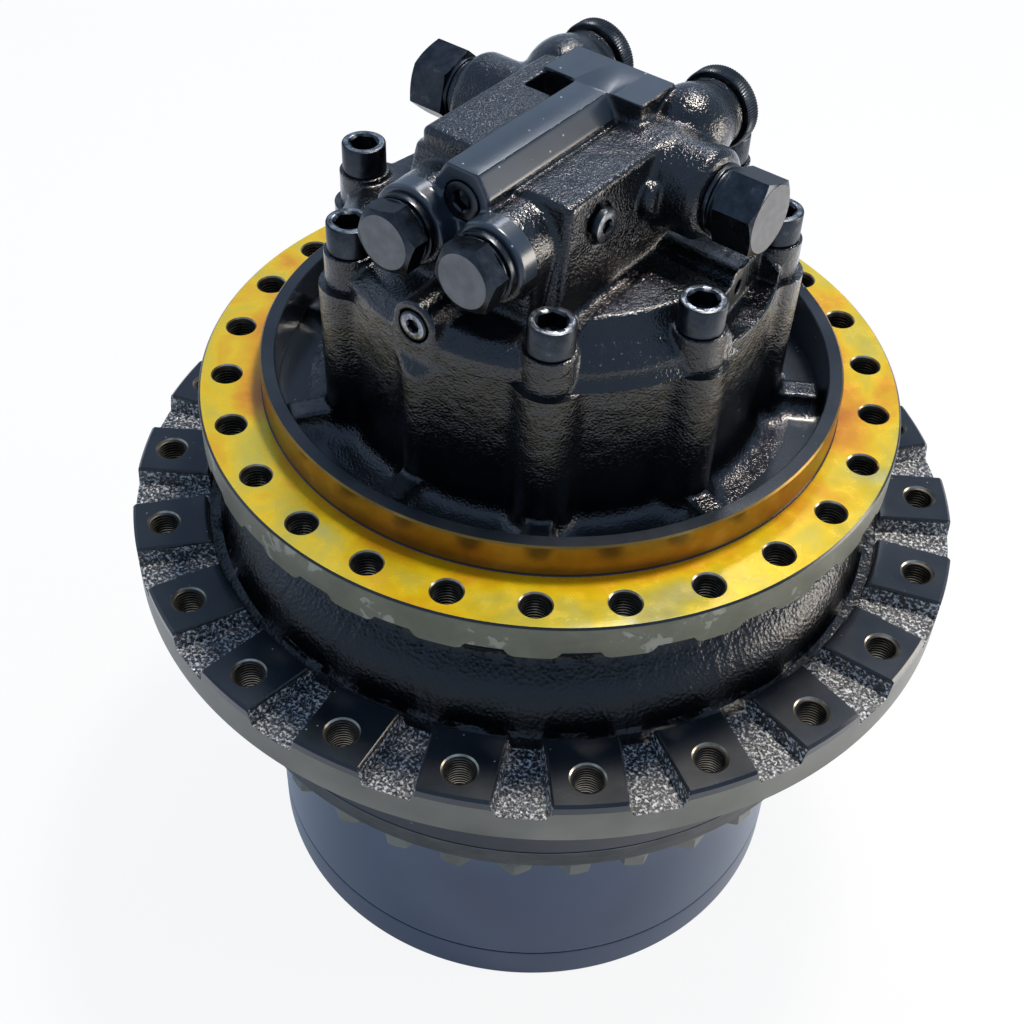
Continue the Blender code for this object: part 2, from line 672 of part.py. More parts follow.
def build_end_cover(drum):
    """End cover: it closes the drum, takes the sun gears' thrust, and has two oil plugs."""
    top = COVER_T - FACE_GAP / 2
    register_r = (RING_TEETH / 2 - ADDENDUM) * MODULE - 2
    profile = [
        (0, COVER_DISH), (COVER_FOOT_R - COVER_DISH, COVER_DISH), (COVER_FOOT_R, 0), (HOUSING_R - 3, 0),
        (HOUSING_R, 3), (HOUSING_R, top), (register_r, top), (register_r, COVER_INNER_Z), (0, COVER_INNER_Z),
    ]
    cover = turned_piece("end_cover", profile, RING_STEPS, OXIDE_STEEL, drum)
    for name, angle in (("drain_plug", -100.0), ("level_plug", 170.0)):
        x, y = on_circle(OIL_PLUG_CIRCLE_R, angle)
        cut_shape(cover, f"{name}_cutter", lambda bm: rod(bm, (x, y, 2), (x, y, 28), OIL_PLUG_R + 1, 12))
        plug = bmesh.new()
        turn_profile(plug, [(0, 0), (OIL_PLUG_R, 0), (OIL_PLUG_R, -OIL_PLUG_T), (0, -OIL_PLUG_T)], 12)
        socket_piece(name, plug, BARE_STEEL, 12, 9, along((0, 0, -1), (x, y, COVER_DISH + 1)), drum)


def build_bearings(drum):
    """Two main bearings: inner rings on the spindle, outer rings in the hub, roller cages between."""
    cage_inner_r = clear_of(INNER_RACE_R, SPINDLE_STEPS)
    cage_outer_r = OUTER_RACE_R * math.cos(math.pi / HUB_BORE_STEPS) - FACE_GAP
    for name, low, cage_low in (("upper", UPPER_BEARING_Z, UPPER_BEARING_Z + CAGE_INSET),
                                ("lower", LOWER_BEARING_Z, LOWER_BEARING_Z)):
        high = low + BEARING_WIDTH
        inner = ring_profile(BEARING_SEAT_R + FACE_GAP, INNER_RACE_R, low, high)
        outer = ring_profile(OUTER_RACE_R, OUTER_SEAT_R - FACE_GAP, low, high)
        turned_piece(f"{name}_bearing_inner_ring", inner, SPINDLE_STEPS, GEAR_STEEL)
        turned_piece(f"{name}_bearing_outer_ring", outer, HUB_BORE_STEPS, GEAR_STEEL, drum)
        cage = ring_profile(cage_inner_r, cage_outer_r, cage_low, cage_low + BEARING_WIDTH - CAGE_INSET)
        turned_piece(f"{name}_roller_cage", cage, SPINDLE_STEPS, GEAR_STEEL, group(f"{name}_cage_axis"))
    nut_inner_r = BEARING_SEAT_R - THREAD_STEP + FACE_GAP
    nut = ring_profile(nut_inner_r, INNER_RACE_R + 8, SPINDLE_END_Z, LOWER_BEARING_Z - FACE_GAP)
    turned_piece("bearing_nut", nut, SPINDLE_STEPS, OXIDE_STEEL)


def build_seals(drum):
    """Floating seal: one ring sits on the spindle, the other turns with the hub, face to face."""
    skirt_z = SEAL_SKIRT_Z - FACE_GAP
    fixed = [(SKIRT_R - 1, skirt_z), (SKIRT_R - 4, SEAL_FACE_Z + FACE_GAP),
             (SEAL_SKIRT_R + 9, SEAL_FACE_Z + FACE_GAP), (SEAL_SKIRT_R + 4, skirt_z)]
    turned_piece("seal_ring_fixed", fixed, SPINDLE_STEPS, GEAR_STEEL)
    turning = [(SKIRT_R - 4, SEAL_FACE_Z), (HUB_MOUTH_R - 3, SEAL_LEDGE_Z + FACE_GAP),
               (OUTER_SEAT_R - 4, SEAL_LEDGE_Z + FACE_GAP), (SEAL_SKIRT_R + 9, SEAL_FACE_Z)]
    turned_piece("seal_ring_turning", turning, HUB_BORE_STEPS, GEAR_STEEL, drum)


# Planetary gearing
def pins(bm, z_low, z_high, r, steps=PIN_STEPS):
    for k in range(PLANET_COUNT):
        x, y = planet_centre(k)
        rod(bm, (x, y, z_low), (x, y, z_high), r, steps)


def posts(bm):
    """Webs between the second stage's planets, which tie the carrier's two plates together."""
    for angle in even_angles(PLANET_COUNT, 180.0 / PLANET_COUNT):
        x, y = on_circle(POST_CIRCLE_R, angle)
        rod(bm, (x, y, CARRIER_2_LOWER_Z + 3), (x, y, CARRIER_2_UPPER_Z + 6), POST_R, 8)


def build_stage_2(sun_group):
    """Second stage: its carrier is splined into the spindle, and its sun turns with the first carrier."""
    low = STAGE_2_Z[0]
    stub_r = SPLINE_BORE_R - FACE_GAP
    carrier = turned_piece("second_carrier", [
        (stub_r, CARRIER_2_STUB_Z), (stub_r, CARRIER_2_TOP_Z), (CARRIER_2_R, CARRIER_2_TOP_Z),
        (CARRIER_2_R, CARRIER_2_UPPER_Z), (CARRIER_2_NECK_R, CARRIER_2_UPPER_Z),
        (CARRIER_2_NECK_R, CARRIER_2_STUB_Z)], SPINDLE_STEPS, GEAR_STEEL)
    add_shape(carrier, "second_carrier_pins", lambda bm: pins(
        bm, CARRIER_2_LOWER_Z + 3, CARRIER_2_UPPER_Z + 6, PIN_2_R))
    add_shape(carrier, "second_carrier_posts", posts)
    add_shape(carrier, "second_carrier_lower_plate", lambda bm: turn_profile(bm, ring_profile(
        CARRIER_2_BORE_R, CARRIER_2_R, CARRIER_2_LOWER_Z, CARRIER_2_LOWER_Z + CARRIER_2_LOWER_T), SPINDLE_STEPS))
    planet_gears("second_planet", STAGE_2_Z, PIN_2_R, None)
    sun = bmesh.new()
    extrude_outlines(sun, [gear_outline(SUN_TEETH, 0), circle(SUN_2_BORE_R, 12)], low - 2,
                     CARRIER_2_UPPER_Z - FACE_GAP)
    sun = make("second_sun_gear", sun, GEAR_STEEL, parent=sun_group)
    add_shape(sun, "second_sun_neck", lambda bm: turn_profile(bm, ring_profile(
        SUN_2_BORE_R, SUN_2_NECK_R, CARRIER_1_Z, low + 1), 12))


def build_stage_1(sun_group):
    """First stage: its carrier drives the second sun, and its planets hang on overhung pins."""
    carrier = turned_piece("first_carrier", ring_profile(
        SUN_2_NECK_R + FACE_GAP, CARRIER_1_R, CARRIER_1_Z, CARRIER_1_Z + CARRIER_1_T), 12, GEAR_STEEL, sun_group)
    add_shape(carrier, "first_carrier_pins", lambda bm: pins(bm, STAGE_1_Z[0] - 1, CARRIER_1_Z + 8, PIN_1_R))
    planet_gears("first_planet", STAGE_1_Z, PIN_1_R, sun_group)


# Hydraulic motor
def build_rotor(rotor):
    """Everything that turns with the motor shaft."""
    sun = bmesh.new()
    extrude_outlines(sun, [gear_outline(SUN_TEETH, 0)], COVER_INNER_Z + FACE_GAP,
                     CARRIER_1_Z - FACE_GAP)
    sun = make("first_sun_gear", sun, GEAR_STEEL, parent=rotor)
    add_shape(sun, "first_sun_stem", lambda bm: rod(
        bm, (0, 0, 70), (0, 0, SHAFT_SOCKET_Z - 1), SUN_STEM_R, 8))
    socket_r = SUN_STEM_R + FACE_GAP
    turned_piece("motor_shaft", [
        (SHAFT_R, BLOCK_Z[1] + 8), (SHAFT_R, CAVITY_FLOOR_Z), (SHAFT_BEARING_R, CAVITY_FLOOR_Z - 1),
        (SHAFT_BEARING_R, SPLINE_BORE_TOP_Z + 2), (socket_r, SPLINE_BORE_TOP_Z + 2), (socket_r, SHAFT_SOCKET_Z),
        (0, SHAFT_SOCKET_Z + 2), (0, SHAFT_END_Z), (SHAFT_END_R, SHAFT_END_Z), (SHAFT_END_R, BLOCK_Z[1] + 8)],
        8, GEAR_STEEL, rotor)
    bm = bmesh.new()
    bores = [circle(PISTON_R + 0.5, 8, on_circle(PISTON_CIRCLE_R, a)) for a in even_angles(PISTON_COUNT)]
    extrude_outlines(bm, [circle(BLOCK_R, 16), circle(SHAFT_R + FACE_GAP, 8)] + bores, *BLOCK_Z)
    make("cylinder_block", bm, BRONZE, parent=rotor)
    bm = bmesh.new()
    turn_profile(bm, ring_profile(*RETAINER_R, SHOE_Z, SHOE_Z + 9), 16)
    pistons = make("pistons_and_retainer", bm, GEAR_STEEL, parent=rotor)
    add_shape(pistons, "piston_barrels", piston_barrels)
    for k in range(BRAKE_DISC_COUNT):
        low = brake_plate_z(k) + BRAKE_PLATE_T + FACE_GAP
        disc = ring_profile(BLOCK_R + FACE_GAP, BRAKE_DISC_R, low, low + BRAKE_PLATE_T)
        turned_piece(f"brake_disc_{k + 1}", disc, 16, BRONZE, rotor)


def piston_barrels(bm):
    """Nine pistons, held in the retainer plate by their feet."""
    for a in even_angles(PISTON_COUNT):
        x, y = on_circle(PISTON_CIRCLE_R, a)
        rod(bm, (x, y, SHOE_Z + 5), (x, y, BLOCK_Z[1] - 8), PISTON_R, 8)


def brake_plate_z(k):
    """Underside of fixed brake plate k; a disc lies on each plate."""
    return BRAKE_STEP_Z + FACE_GAP + 2 * k * (BRAKE_PLATE_T + FACE_GAP)


def build_motor_parts():
    """The motor's fixed and sliding pieces inside the casing."""
    floor = CAVITY_FLOOR_Z
    turned_piece("shaft_bearing_lower", ring_profile(
        clear_of(SHAFT_BEARING_R, SPINDLE_STEPS), SHAFT_POCKET_R - FACE_GAP,
        floor - SHAFT_BEARING_T + FACE_GAP, floor - 2),
        SPINDLE_STEPS, GEAR_STEEL)
    turned_piece("shaft_bearing_upper", ring_profile(
        clear_of(SHAFT_END_R, 12), END_POCKET_R - 0.6, CASING_TOP_Z + 1, END_POCKET_Z - 1), 12, GEAR_STEEL)
    turned_piece("valve_plate", ring_profile(34, BLOCK_R, CASING_TOP_Z - FACE_GAP - VALVE_PLATE_T,
                                             CASING_TOP_Z - FACE_GAP), 16, BRONZE)
    for k in range(BRAKE_DISC_COUNT):
        turned_piece(f"brake_plate_{k + 1}", ring_profile(
            BRAKE_PLATE_R, CAVITY_R - FACE_GAP, brake_plate_z(k), brake_plate_z(k) + BRAKE_PLATE_T),
            SPINDLE_STEPS, GEAR_STEEL)
    piston_low = brake_plate_z(BRAKE_DISC_COUNT)
    spring_low = CASING_TOP_Z - BRAKE_SPRING_H
    turned_piece("brake_piston", ring_profile(
        BRAKE_PLATE_R, CAVITY_R - FACE_GAP, piston_low, spring_low - BRAKE_STROKE - FACE_GAP),
        SPINDLE_STEPS, GEAR_STEEL, group("brake_axis"))
    build_brake_spring(spring_low, CASING_TOP_Z)
    build_swash_plate()
    servo = bmesh.new()
    turned_on(servo, [(0, floor - 28), (SERVO_R, floor - 28), (SERVO_R, floor - 3), (3, SERVO_TIP_Z),
                      (0, SERVO_TIP_Z)], 8, Matrix.Translation((0, SERVO_Y, 0)))
    make("speed_change_piston", servo, GEAR_STEEL, origin=(0, SERVO_Y, floor))


def build_brake_spring(low, high):
    """A wave spring: a flat ring whose height rises and falls, between the brake piston and the cover."""
    bm = bmesh.new()
    inner_r, outer_r = BRAKE_PLATE_R + 3, CAVITY_R - 4
    swing = (high - low) / 2 - SPRING_HALF_T
    rings = []
    for a in even_angles(SPRING_STEPS):
        middle = (low + high) / 2 + swing * math.cos(math.radians(a * SPRING_WAVE_COUNT))
        section = ((inner_r, -SPRING_HALF_T), (outer_r, -SPRING_HALF_T),
                   (outer_r, SPRING_HALF_T), (inner_r, SPRING_HALF_T))
        rings.append([bm.verts.new((*on_circle(r, a), middle + h)) for r, h in section])
    for k, ring in enumerate(rings):
        other = rings[(k + 1) % SPRING_STEPS]
        for i in range(4):
            bm.faces.new((ring[i - 1], ring[i], other[i], other[i - 1]))
    make("brake_spring", bm, GEAR_STEEL)


def build_swash_plate():
    """Tilting swash plate: a round plate on two half-round ribs that roll on the casing's floor."""
    bm = bmesh.new()
    extrude_outlines(bm, [circle(SWASH_R, 20), circle(SWASH_BORE_R, 12)], SWASH_LIFT, SWASH_LIFT + SWASH_T)
    tilt = Matrix.Translation((0, 0, SWASH_HINGE_Z)) @ Matrix.Rotation(math.radians(SWASH_TILT), 4, "X")
    bmesh.ops.transform(bm, matrix=tilt, verts=bm.verts)
    swash = make("swash_plate", bm, GEAR_STEEL, origin=(0, 0, SWASH_HINGE_Z))
    rib_r = SWASH_HINGE_Z - CAVITY_FLOOR_Z - FACE_GAP

    def ribs(bm):
        for side in (-1, 1):
            rod(bm, (side * 46, 0, SWASH_HINGE_Z), (side * 70, 0, SWASH_HINGE_Z), rib_r, 12)
    add_shape(swash, "swash_ribs", ribs)


# Motor cover with the valve block
def cover_crown(bm):
    """The cover rises from its flange to the valve block, over the pocket for the shaft's end bearing."""
    turn_profile(bm, [
        (0, END_POCKET_Z), (END_POCKET_R, END_POCKET_Z), (END_POCKET_R, CASING_TOP_Z + FACE_GAP),
        (90, CASING_TOP_Z + FACE_GAP), (COVER_RIM_R - 10, COVER_RIM_Z - 4), (COVER_RIM_R - 14, COVER_RIM_Z + 1),
        (86, COVER_RIM_Z + 26), (0, COVER_RIM_Z + 28)], CASING_STEPS, 180.0 / CASING_STEPS)


def cover_flange(bm):
    extrude_outlines(bm, [lobed_outline(COVER_RIM_R, COVER_BOSS_R + 2), circle(70, 12)],
                     CASING_TOP_Z + FACE_GAP, COVER_RIM_Z)


def block_body(bm):
    """The valve block's cast body, widening to its foot on the cover."""
    foot_z = BODY_FOOT_Z
    top = [(-BLOCK_HALF_W + 4, BLOCK_FRONT_Y), (BLOCK_HALF_W, BLOCK_FRONT_Y), (BLOCK_HALF_W, BLOCK_BACK_Y),
           (-BLOCK_HALF_W + 4, BLOCK_BACK_Y)]
    foot = [(-BLOCK_HALF_W - 4, BLOCK_FRONT_Y - 18), (BLOCK_HALF_W + 6, BLOCK_FRONT_Y - 18),
            (BLOCK_HALF_W + 6, BLOCK_BACK_Y + 14), (-BLOCK_HALF_W - 4, BLOCK_BACK_Y + 14)]
    low = [bm.verts.new((x, y, foot_z)) for x, y in foot]
    high = [bm.verts.new((x, y, RIGHT_SHOULDER_Z)) for x, y in top]
    bm.faces.new(low)
    bm.faces.new(list(reversed(high)))
    for k in range(4):
        bm.faces.new((low[k - 1], high[k - 1], high[k], low[k]))


def top_land(bm):
    """The long machined bar on the block, with its sloping sides and the raised left shoulder."""
    low = RIGHT_SHOULDER_Z - 8
    section = [(-BLOCK_HALF_W + 9, low), (-BLOCK_HALF_W + 9, LEFT_SHOULDER_Z - 5),
               (-BLOCK_HALF_W + 14, LEFT_SHOULDER_Z),
               (-BAR_HALF_W - 1, LEFT_SHOULDER_Z), (-BAR_HALF_W, BLOCK_TOP_Z), (BAR_HALF_W, BLOCK_TOP_Z),
               (BAR_HALF_W + 8, RIGHT_SHOULDER_Z + 0.5), (BAR_HALF_W + 8, low)]
    rings = []
    for y in (BLOCK_FRONT_Y - 2, CROSSBAR_FRONT_Y + 4):
        rings.append([bm.verts.new((x, y, z)) for x, z in section])
    bm.faces.new(rings[0])
    bm.faces.new(list(reversed(rings[1])))
    for k in range(len(section)):
        bm.faces.new((rings[0][k - 1], rings[0][k], rings[1][k], rings[1][k - 1]))


def bar_nose(bm):
    """The bar's front end, with eight sides, which holds a plug."""
    low = RELIEF_Z + 2
    section = [(-BAR_HALF_W, BLOCK_TOP_Z), (BAR_HALF_W, BLOCK_TOP_Z), (BAR_HALF_W + 9, BLOCK_TOP_Z - 15),
               (BAR_HALF_W + 5, low), (-BAR_HALF_W - 5, low), (-BAR_HALF_W - 9, BLOCK_TOP_Z - 15)]
    rings = [[bm.verts.new((x, y, z)) for x, z in section] for y in (BAR_FRONT_Y, BLOCK_FRONT_Y + 6)]
    bm.faces.new(rings[0])
    bm.faces.new(list(reversed(rings[1])))
    for k in range(len(section)):
        bm.faces.new((rings[0][k - 1], rings[0][k], rings[1][k], rings[1][k - 1]))


def crossbar(bm):
    box(bm, (-CROSSBAR_HALF_W, CROSSBAR_FRONT_Y, RIGHT_SHOULDER_Z - 20),
        (CROSSBAR_HALF_W, BLOCK_BACK_Y, BLOCK_TOP_Z))


def relief_boss(bm, side):
    rod(bm, (side * RELIEF_X, -40, RELIEF_Z), (side * RELIEF_X, RELIEF_BOSS_Y, RELIEF_Z),
        RELIEF_BOSS_R + 1, 14, RELIEF_BOSS_R)


def port_boss(bm, side):
    """A round boss with a domed root."""
    length = PORT_BOSS_Y - 45
    profile = [(0, -16), (16, -12), (PORT_BOSS_R, 0), (PORT_BOSS_R, length), (0, length)]
    turned_on(bm, profile, 14, along((0, 1, 0), (side * PORT_X, 45, PORT_Z)))


def spool_boss(bm, side):
    """A round boss that steps in behind the spool's cap."""
    length = SPOOL_BOSS_X - 42
    profile = [(0, 0), (SPOOL_BOSS_R + 3, 0), (SPOOL_BOSS_R, length - 14),
               (SPOOL_BOSS_R - 6, length), (0, length)]
    turned_on(bm, profile, 14, along((side, 0, 0), (side * 42, SPOOL_Y, SPOOL_Z)))


def drain_arm(bm, side):
    rod(bm, (side * 50, DRAIN_ARM_Y, DRAIN_ARM_Z), (side * DRAIN_ARM_X, DRAIN_ARM_Y, DRAIN_ARM_Z),
        DRAIN_ARM_R + 1, 10, DRAIN_ARM_R)


def screw_bosses(bm):
    for angle in COVER_BOLT_ANGLES:
        x, y = on_circle(COVER_BOLT_CIRCLE_R, angle)
        rod(bm, (x, y, COVER_RIM_Z - 5), (x, y, HEAD_SEAT_Z), COVER_BOSS_R, 10, phase=angle)


def front_lug(bm):
    """Lug over the casing's blind column, which holds the control line's plug."""
    box(bm, (-LUG_HALF_W, LUG_Y, CASING_TOP_Z + FACE_GAP),
        (LUG_HALF_W, LUG_Y + LUG_LENGTH, LUG_Z + LUG_PLUG_R + 2))


def both_sides(build):
    def build_both(bm):
        for side in (-1, 1):
            build(bm, side)
    return build_both


def screw_clearance_holes(bm):
    for angle in COVER_BOLT_ANGLES:
        x, y = on_circle(COVER_BOLT_CIRCLE_R, angle)
        rod(bm, (x, y, CASING_TOP_Z - 5), (x, y, HEAD_SEAT_Z + 2), CAP_SCREW_HOLE_R, 6, phase=angle)


def valve_bores(bm):
    """Relief valve and port bores, small plug bores, and the spool bore right across the block."""
    for side in (-1, 1):
        rod(bm, (side * RELIEF_X, RELIEF_BOSS_Y + RELIEF_BORE_DEPTH, RELIEF_Z),
            (side * RELIEF_X, RELIEF_BOSS_Y - 2, RELIEF_Z), RELIEF_BORE_R, 12)
        rod(bm, (side * PORT_X, PORT_BOSS_Y - PORT_BORE_DEPTH, PORT_Z),
            (side * PORT_X, PORT_BOSS_Y + 2, PORT_Z), PORT_BORE_R, 12)
        plug_bore_x = RELIEF_X + RELIEF_BORE_R + 1.5
        rod(bm, (side * plug_bore_x, SIDE_PLUG_Y, SIDE_PLUG_Z),
            (side * (BLOCK_HALF_W + 18), SIDE_PLUG_Y, SIDE_PLUG_Z), SIDE_PLUG_SHANK_R + 0.8, 8)
        rod(bm, (side * (DRAIN_ARM_X - DRAIN_BORE_DEPTH), DRAIN_ARM_Y, DRAIN_ARM_Z),
            (side * (DRAIN_ARM_X + 2), DRAIN_ARM_Y, DRAIN_ARM_Z), DRAIN_BORE_R, 8)
    rod(bm, (-SPOOL_BOSS_X - 2, SPOOL_Y, SPOOL_Z), (SPOOL_BOSS_X + 2, SPOOL_Y, SPOOL_Z), SPOOL_BORE_R, 12)
    rod(bm, (0, LUG_Y + 18, LUG_Z), (0, LUG_Y - 2, LUG_Z), LUG_PLUG_R + 1, 10)
    rod(bm, (0, BAR_FRONT_Y + BAR_PLUG_T + 3, BAR_PLUG_Z), (0, BAR_FRONT_Y - 2, BAR_PLUG_Z),
        BAR_PLUG_R + 1, 10)


def left_pocket(bm):
    """Square pocket beside the bar, in front of the crossbar."""
    box(bm, (-CROSSBAR_HALF_W + 2, CROSSBAR_FRONT_Y - 22, RIGHT_SHOULDER_Z - 12),
        (-BAR_HALF_W - 1, CROSSBAR_FRONT_Y + 0.1, BLOCK_TOP_Z + 2))


def build_motor_cover():
    bm = bmesh.new()
    cover_crown(bm)
    cover = make("motor_cover", bm, BLACK_PAINT)
    for name, build in (("cover_flange", cover_flange), ("block_body", block_body),
                        ("block_top_land", top_land), ("block_crossbar", crossbar),
                        ("block_bar_nose", bar_nose), ("relief_bosses", both_sides(relief_boss)),
                        ("port_bosses", both_sides(port_boss)), ("spool_bosses", both_sides(spool_boss)),
                        ("drain_arms", both_sides(drain_arm)), ("screw_bosses", screw_bosses),
                        ("front_lug", front_lug)):
        add_shape(cover, name, build)
    for name, build in (("screw_hole_cutter", screw_clearance_holes), ("valve_bore_cutter", valve_bores),
                        ("left_pocket_cutter", left_pocket)):
        cut_shape(cover, name, build)


def socket_piece(name, bm, finish, socket_flats, socket_depth, place, parent=None):
    """A plug or screw drawn along Z with its outer end at 0, with a hexagon socket, set in its place."""
    socket = bmesh.new()
    extrude_outlines(socket, [hexagon(socket_flats)], -socket_depth, 2)
    for shape in (socket, bm):
        bmesh.ops.transform(shape, matrix=place, verts=shape.verts)
    piece = make(name, bm, finish, parent=parent)
    combine(piece, make(f"{name}_socket", socket), "DIFFERENCE")


def build_cover_screws():
    head = CAP_SCREW_HEAD_H - FACE_GAP
    for k, angle in enumerate(COVER_BOLT_ANGLES):
        x, y = on_circle(COVER_BOLT_CIRCLE_R, angle)
        end = -CAP_SCREW_HEAD_H - (HEAD_SEAT_Z - CASING_TOP_Z) - CAP_SCREW_GRIP
        bm = bmesh.new()
        turn_profile(bm, [(0, 0), (CAP_SCREW_HEAD_R, 0), (CAP_SCREW_HEAD_R, -head), (CAP_SCREW_R, -head),
                          (CAP_SCREW_R, end), (0, end)], 10)
        socket_piece(f"cover_screw_{k + 1}", bm, OXIDE_STEEL, CAP_SCREW_SOCKET, 11,
                     Matrix.Translation((x, y, HEAD_SEAT_Z + CAP_SCREW_HEAD_H)))


def hexagon_plug(name, place, flats, height, collar_r, collar_t, shank_r, shank_t):
    """A hexagon-headed plug along Z: face at 0, a collar behind the head, and a shank in its bore."""
    bm = bmesh.new()
    loops = [(hexagon(flats, phase=12.0), -height - 1), (hexagon(flats, phase=12.0), -3.0),
             (hexagon(flats - 5, phase=12.0), 0.0)]
    rings = [[bm.verts.new((x, y, z)) for x, y in loop] for loop, z in loops]
    bm.faces.new(rings[0])
    bm.faces.new(rings[-1])
    for low, high in zip(rings, rings[1:]):
        for k in range(6):
            bm.faces.new((low[k - 1], low[k], high[k], high[k - 1]))
    back = bmesh.new()
    turn_profile(back, [(0, -height), (collar_r, -height), (collar_r, -height - collar_t),
                        (shank_r, -height - collar_t), (shank_r, -height - collar_t - shank_t),
                        (0, -height - collar_t - shank_t)], 12)
    for shape in (bm, back):
        bmesh.ops.transform(shape, matrix=place, verts=shape.verts)
    plug = make(name, bm, OXIDE_STEEL)
    combine(plug, make(f"{name}_shank", back), "UNION")


def build_plugs():
    for name, side in (("left", -1), ("right", 1)):
        seat = RELIEF_BOSS_Y - FACE_GAP
        hexagon_plug(f"relief_valve_{name}", along((0, -1, 0), (side * RELIEF_X, RELIEF_FACE_Y, RELIEF_Z)),
                     RELIEF_FLATS, 16, 23, seat - RELIEF_FACE_Y - 16, RELIEF_BORE_R - 0.7, 80)
        cap_height = SPOOL_CAP_X - SPOOL_BOSS_X - FACE_GAP - 4
        hexagon_plug(f"spool_cap_{name}", along((side, 0, 0), (side * SPOOL_CAP_X, SPOOL_Y, SPOOL_Z)),
                     SPOOL_CAP_FLATS, cap_height, 23, 4, SPOOL_BORE_R - 0.7, SPOOL_CAP_SHANK)
        bm = bmesh.new()
        shank_r = PORT_BORE_R - 0.7
        turned_on(bm, [(0, PORT_CAP_T), (PORT_CAP_R - 2, PORT_CAP_T), (PORT_CAP_R, PORT_CAP_T - 2),
                       (PORT_CAP_R, FACE_GAP), (shank_r, FACE_GAP), (shank_r, -24), (0, -24)],
                  18, along((0, 1, 0), (side * PORT_X, PORT_BOSS_Y, PORT_Z)))
        make(f"port_cap_{name}", bm, OXIDE_STEEL)
        bm = bmesh.new()
        turn_profile(bm, [(0, 0), (SIDE_PLUG_R, 0), (SIDE_PLUG_R, -4), (SIDE_PLUG_SHANK_R, -4),
                          (SIDE_PLUG_SHANK_R, -SIDE_PLUG_T), (0, -SIDE_PLUG_T)], 10)
        face_x = side_face_x(side) + SIDE_PLUG_SEAT
        socket_piece(f"side_plug_{name}", bm, OXIDE_STEEL, 8, 5,
                     along((side, 0, 0), (side * face_x, SIDE_PLUG_Y, SIDE_PLUG_Z)))
    bm = bmesh.new()
    turn_profile(bm, [(0, 0), (LUG_PLUG_R, 0), (LUG_PLUG_R, -14), (0, -14)], 10)
    socket_piece("front_lug_plug", bm, BARE_STEEL, 8, 5, along((0, -1, 0), (0, LUG_Y - 1, LUG_Z)))
    bm = bmesh.new()
    turn_profile(bm, [(0, 0), (BAR_PLUG_R, 0), (BAR_PLUG_R, -BAR_PLUG_T), (0, -BAR_PLUG_T)], 10)
    socket_piece("bar_end_plug", bm, OXIDE_STEEL, 12, 7,
                 along((0, -1, 0), (0, BAR_FRONT_Y + 2, BAR_PLUG_Z)))


def side_face_x(side):
    """How far out the block's side face lies at the side plug's height."""
    top, foot = (BLOCK_HALF_W, BLOCK_HALF_W + 6) if side > 0 else (BLOCK_HALF_W - 4, BLOCK_HALF_W + 4)
    share = (RIGHT_SHOULDER_Z - SIDE_PLUG_Z) / (RIGHT_SHOULDER_Z - BODY_FOOT_Z)
    return top + (foot - top) * share


def build_spool():
    """Counterbalance spool: three lands on a thin stem, sliding across the block."""
    land, stem = SPOOL_BORE_R - 0.7, 9.0
    end = SPOOL_BOSS_X - SPOOL_CAP_SHANK - SPOOL_STROKE - 4
    profile = [(0, -end), (land, -end), (land, -end + 14), (stem, -end + 14), (stem, -9), (land, -9), (land, 9),
               (stem, 9), (stem, end - 14), (land, end - 14), (land, end), (0, end)]
    bm = bmesh.new()
    turned_on(bm, profile, 10, along((1, 0, 0), (0, SPOOL_Y, SPOOL_Z)))
    make("counterbalance_spool", bm, GEAR_STEEL, origin=(0, SPOOL_Y, SPOOL_Z))


def build_drive():
    start_clean()
    drum, sun_group, rotor = group("drum_axis"), group("first_carrier_axis"), group("motor_shaft_axis")
    build_spindle()
    build_hub(drum)
    build_ring_gear(drum)
    build_end_cover(drum)
    build_bearings(drum)
    build_seals(drum)
    build_stage_2(sun_group)
    build_stage_1(sun_group)
    build_rotor(rotor)
    build_motor_parts()
    build_motor_cover()
    build_cover_screws()
    build_plugs()
    build_spool()


build_drive()
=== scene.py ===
"""Looks for an excavator's final drive: drum, sprocket hub, frame flange, motor casing and valve block."""

import math

import bmesh
import bpy
import numpy as np
from mathutils import Matrix, Vector, noise


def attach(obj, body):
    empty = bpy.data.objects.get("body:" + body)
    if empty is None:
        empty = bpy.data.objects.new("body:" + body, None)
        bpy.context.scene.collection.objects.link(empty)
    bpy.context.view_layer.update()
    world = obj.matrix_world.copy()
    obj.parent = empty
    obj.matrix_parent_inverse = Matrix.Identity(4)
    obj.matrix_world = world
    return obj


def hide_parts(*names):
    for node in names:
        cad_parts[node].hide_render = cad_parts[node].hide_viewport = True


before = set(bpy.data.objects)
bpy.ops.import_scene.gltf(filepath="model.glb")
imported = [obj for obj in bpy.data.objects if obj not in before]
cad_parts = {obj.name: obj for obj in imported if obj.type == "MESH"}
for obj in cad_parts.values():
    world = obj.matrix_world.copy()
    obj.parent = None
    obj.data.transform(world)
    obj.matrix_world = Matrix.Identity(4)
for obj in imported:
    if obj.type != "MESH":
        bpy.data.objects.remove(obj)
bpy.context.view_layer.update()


# End cover
# A turned disc of ductile iron that closes the drum and that the drive stands on. It is painted with
# the drum's dark blue enamel, and a ring of socket screws holds it from below.
def colour(code):
    """A hex value from a paint chart as the linear colour that a shader takes."""
    parts = [int(code[k:k + 2], 16) / 255 for k in (1, 3, 5)]
    return [c / 12.92 if c <= 0.04045 else ((c + 0.055) / 1.055) ** 2.4 for c in parts] + [1.0]


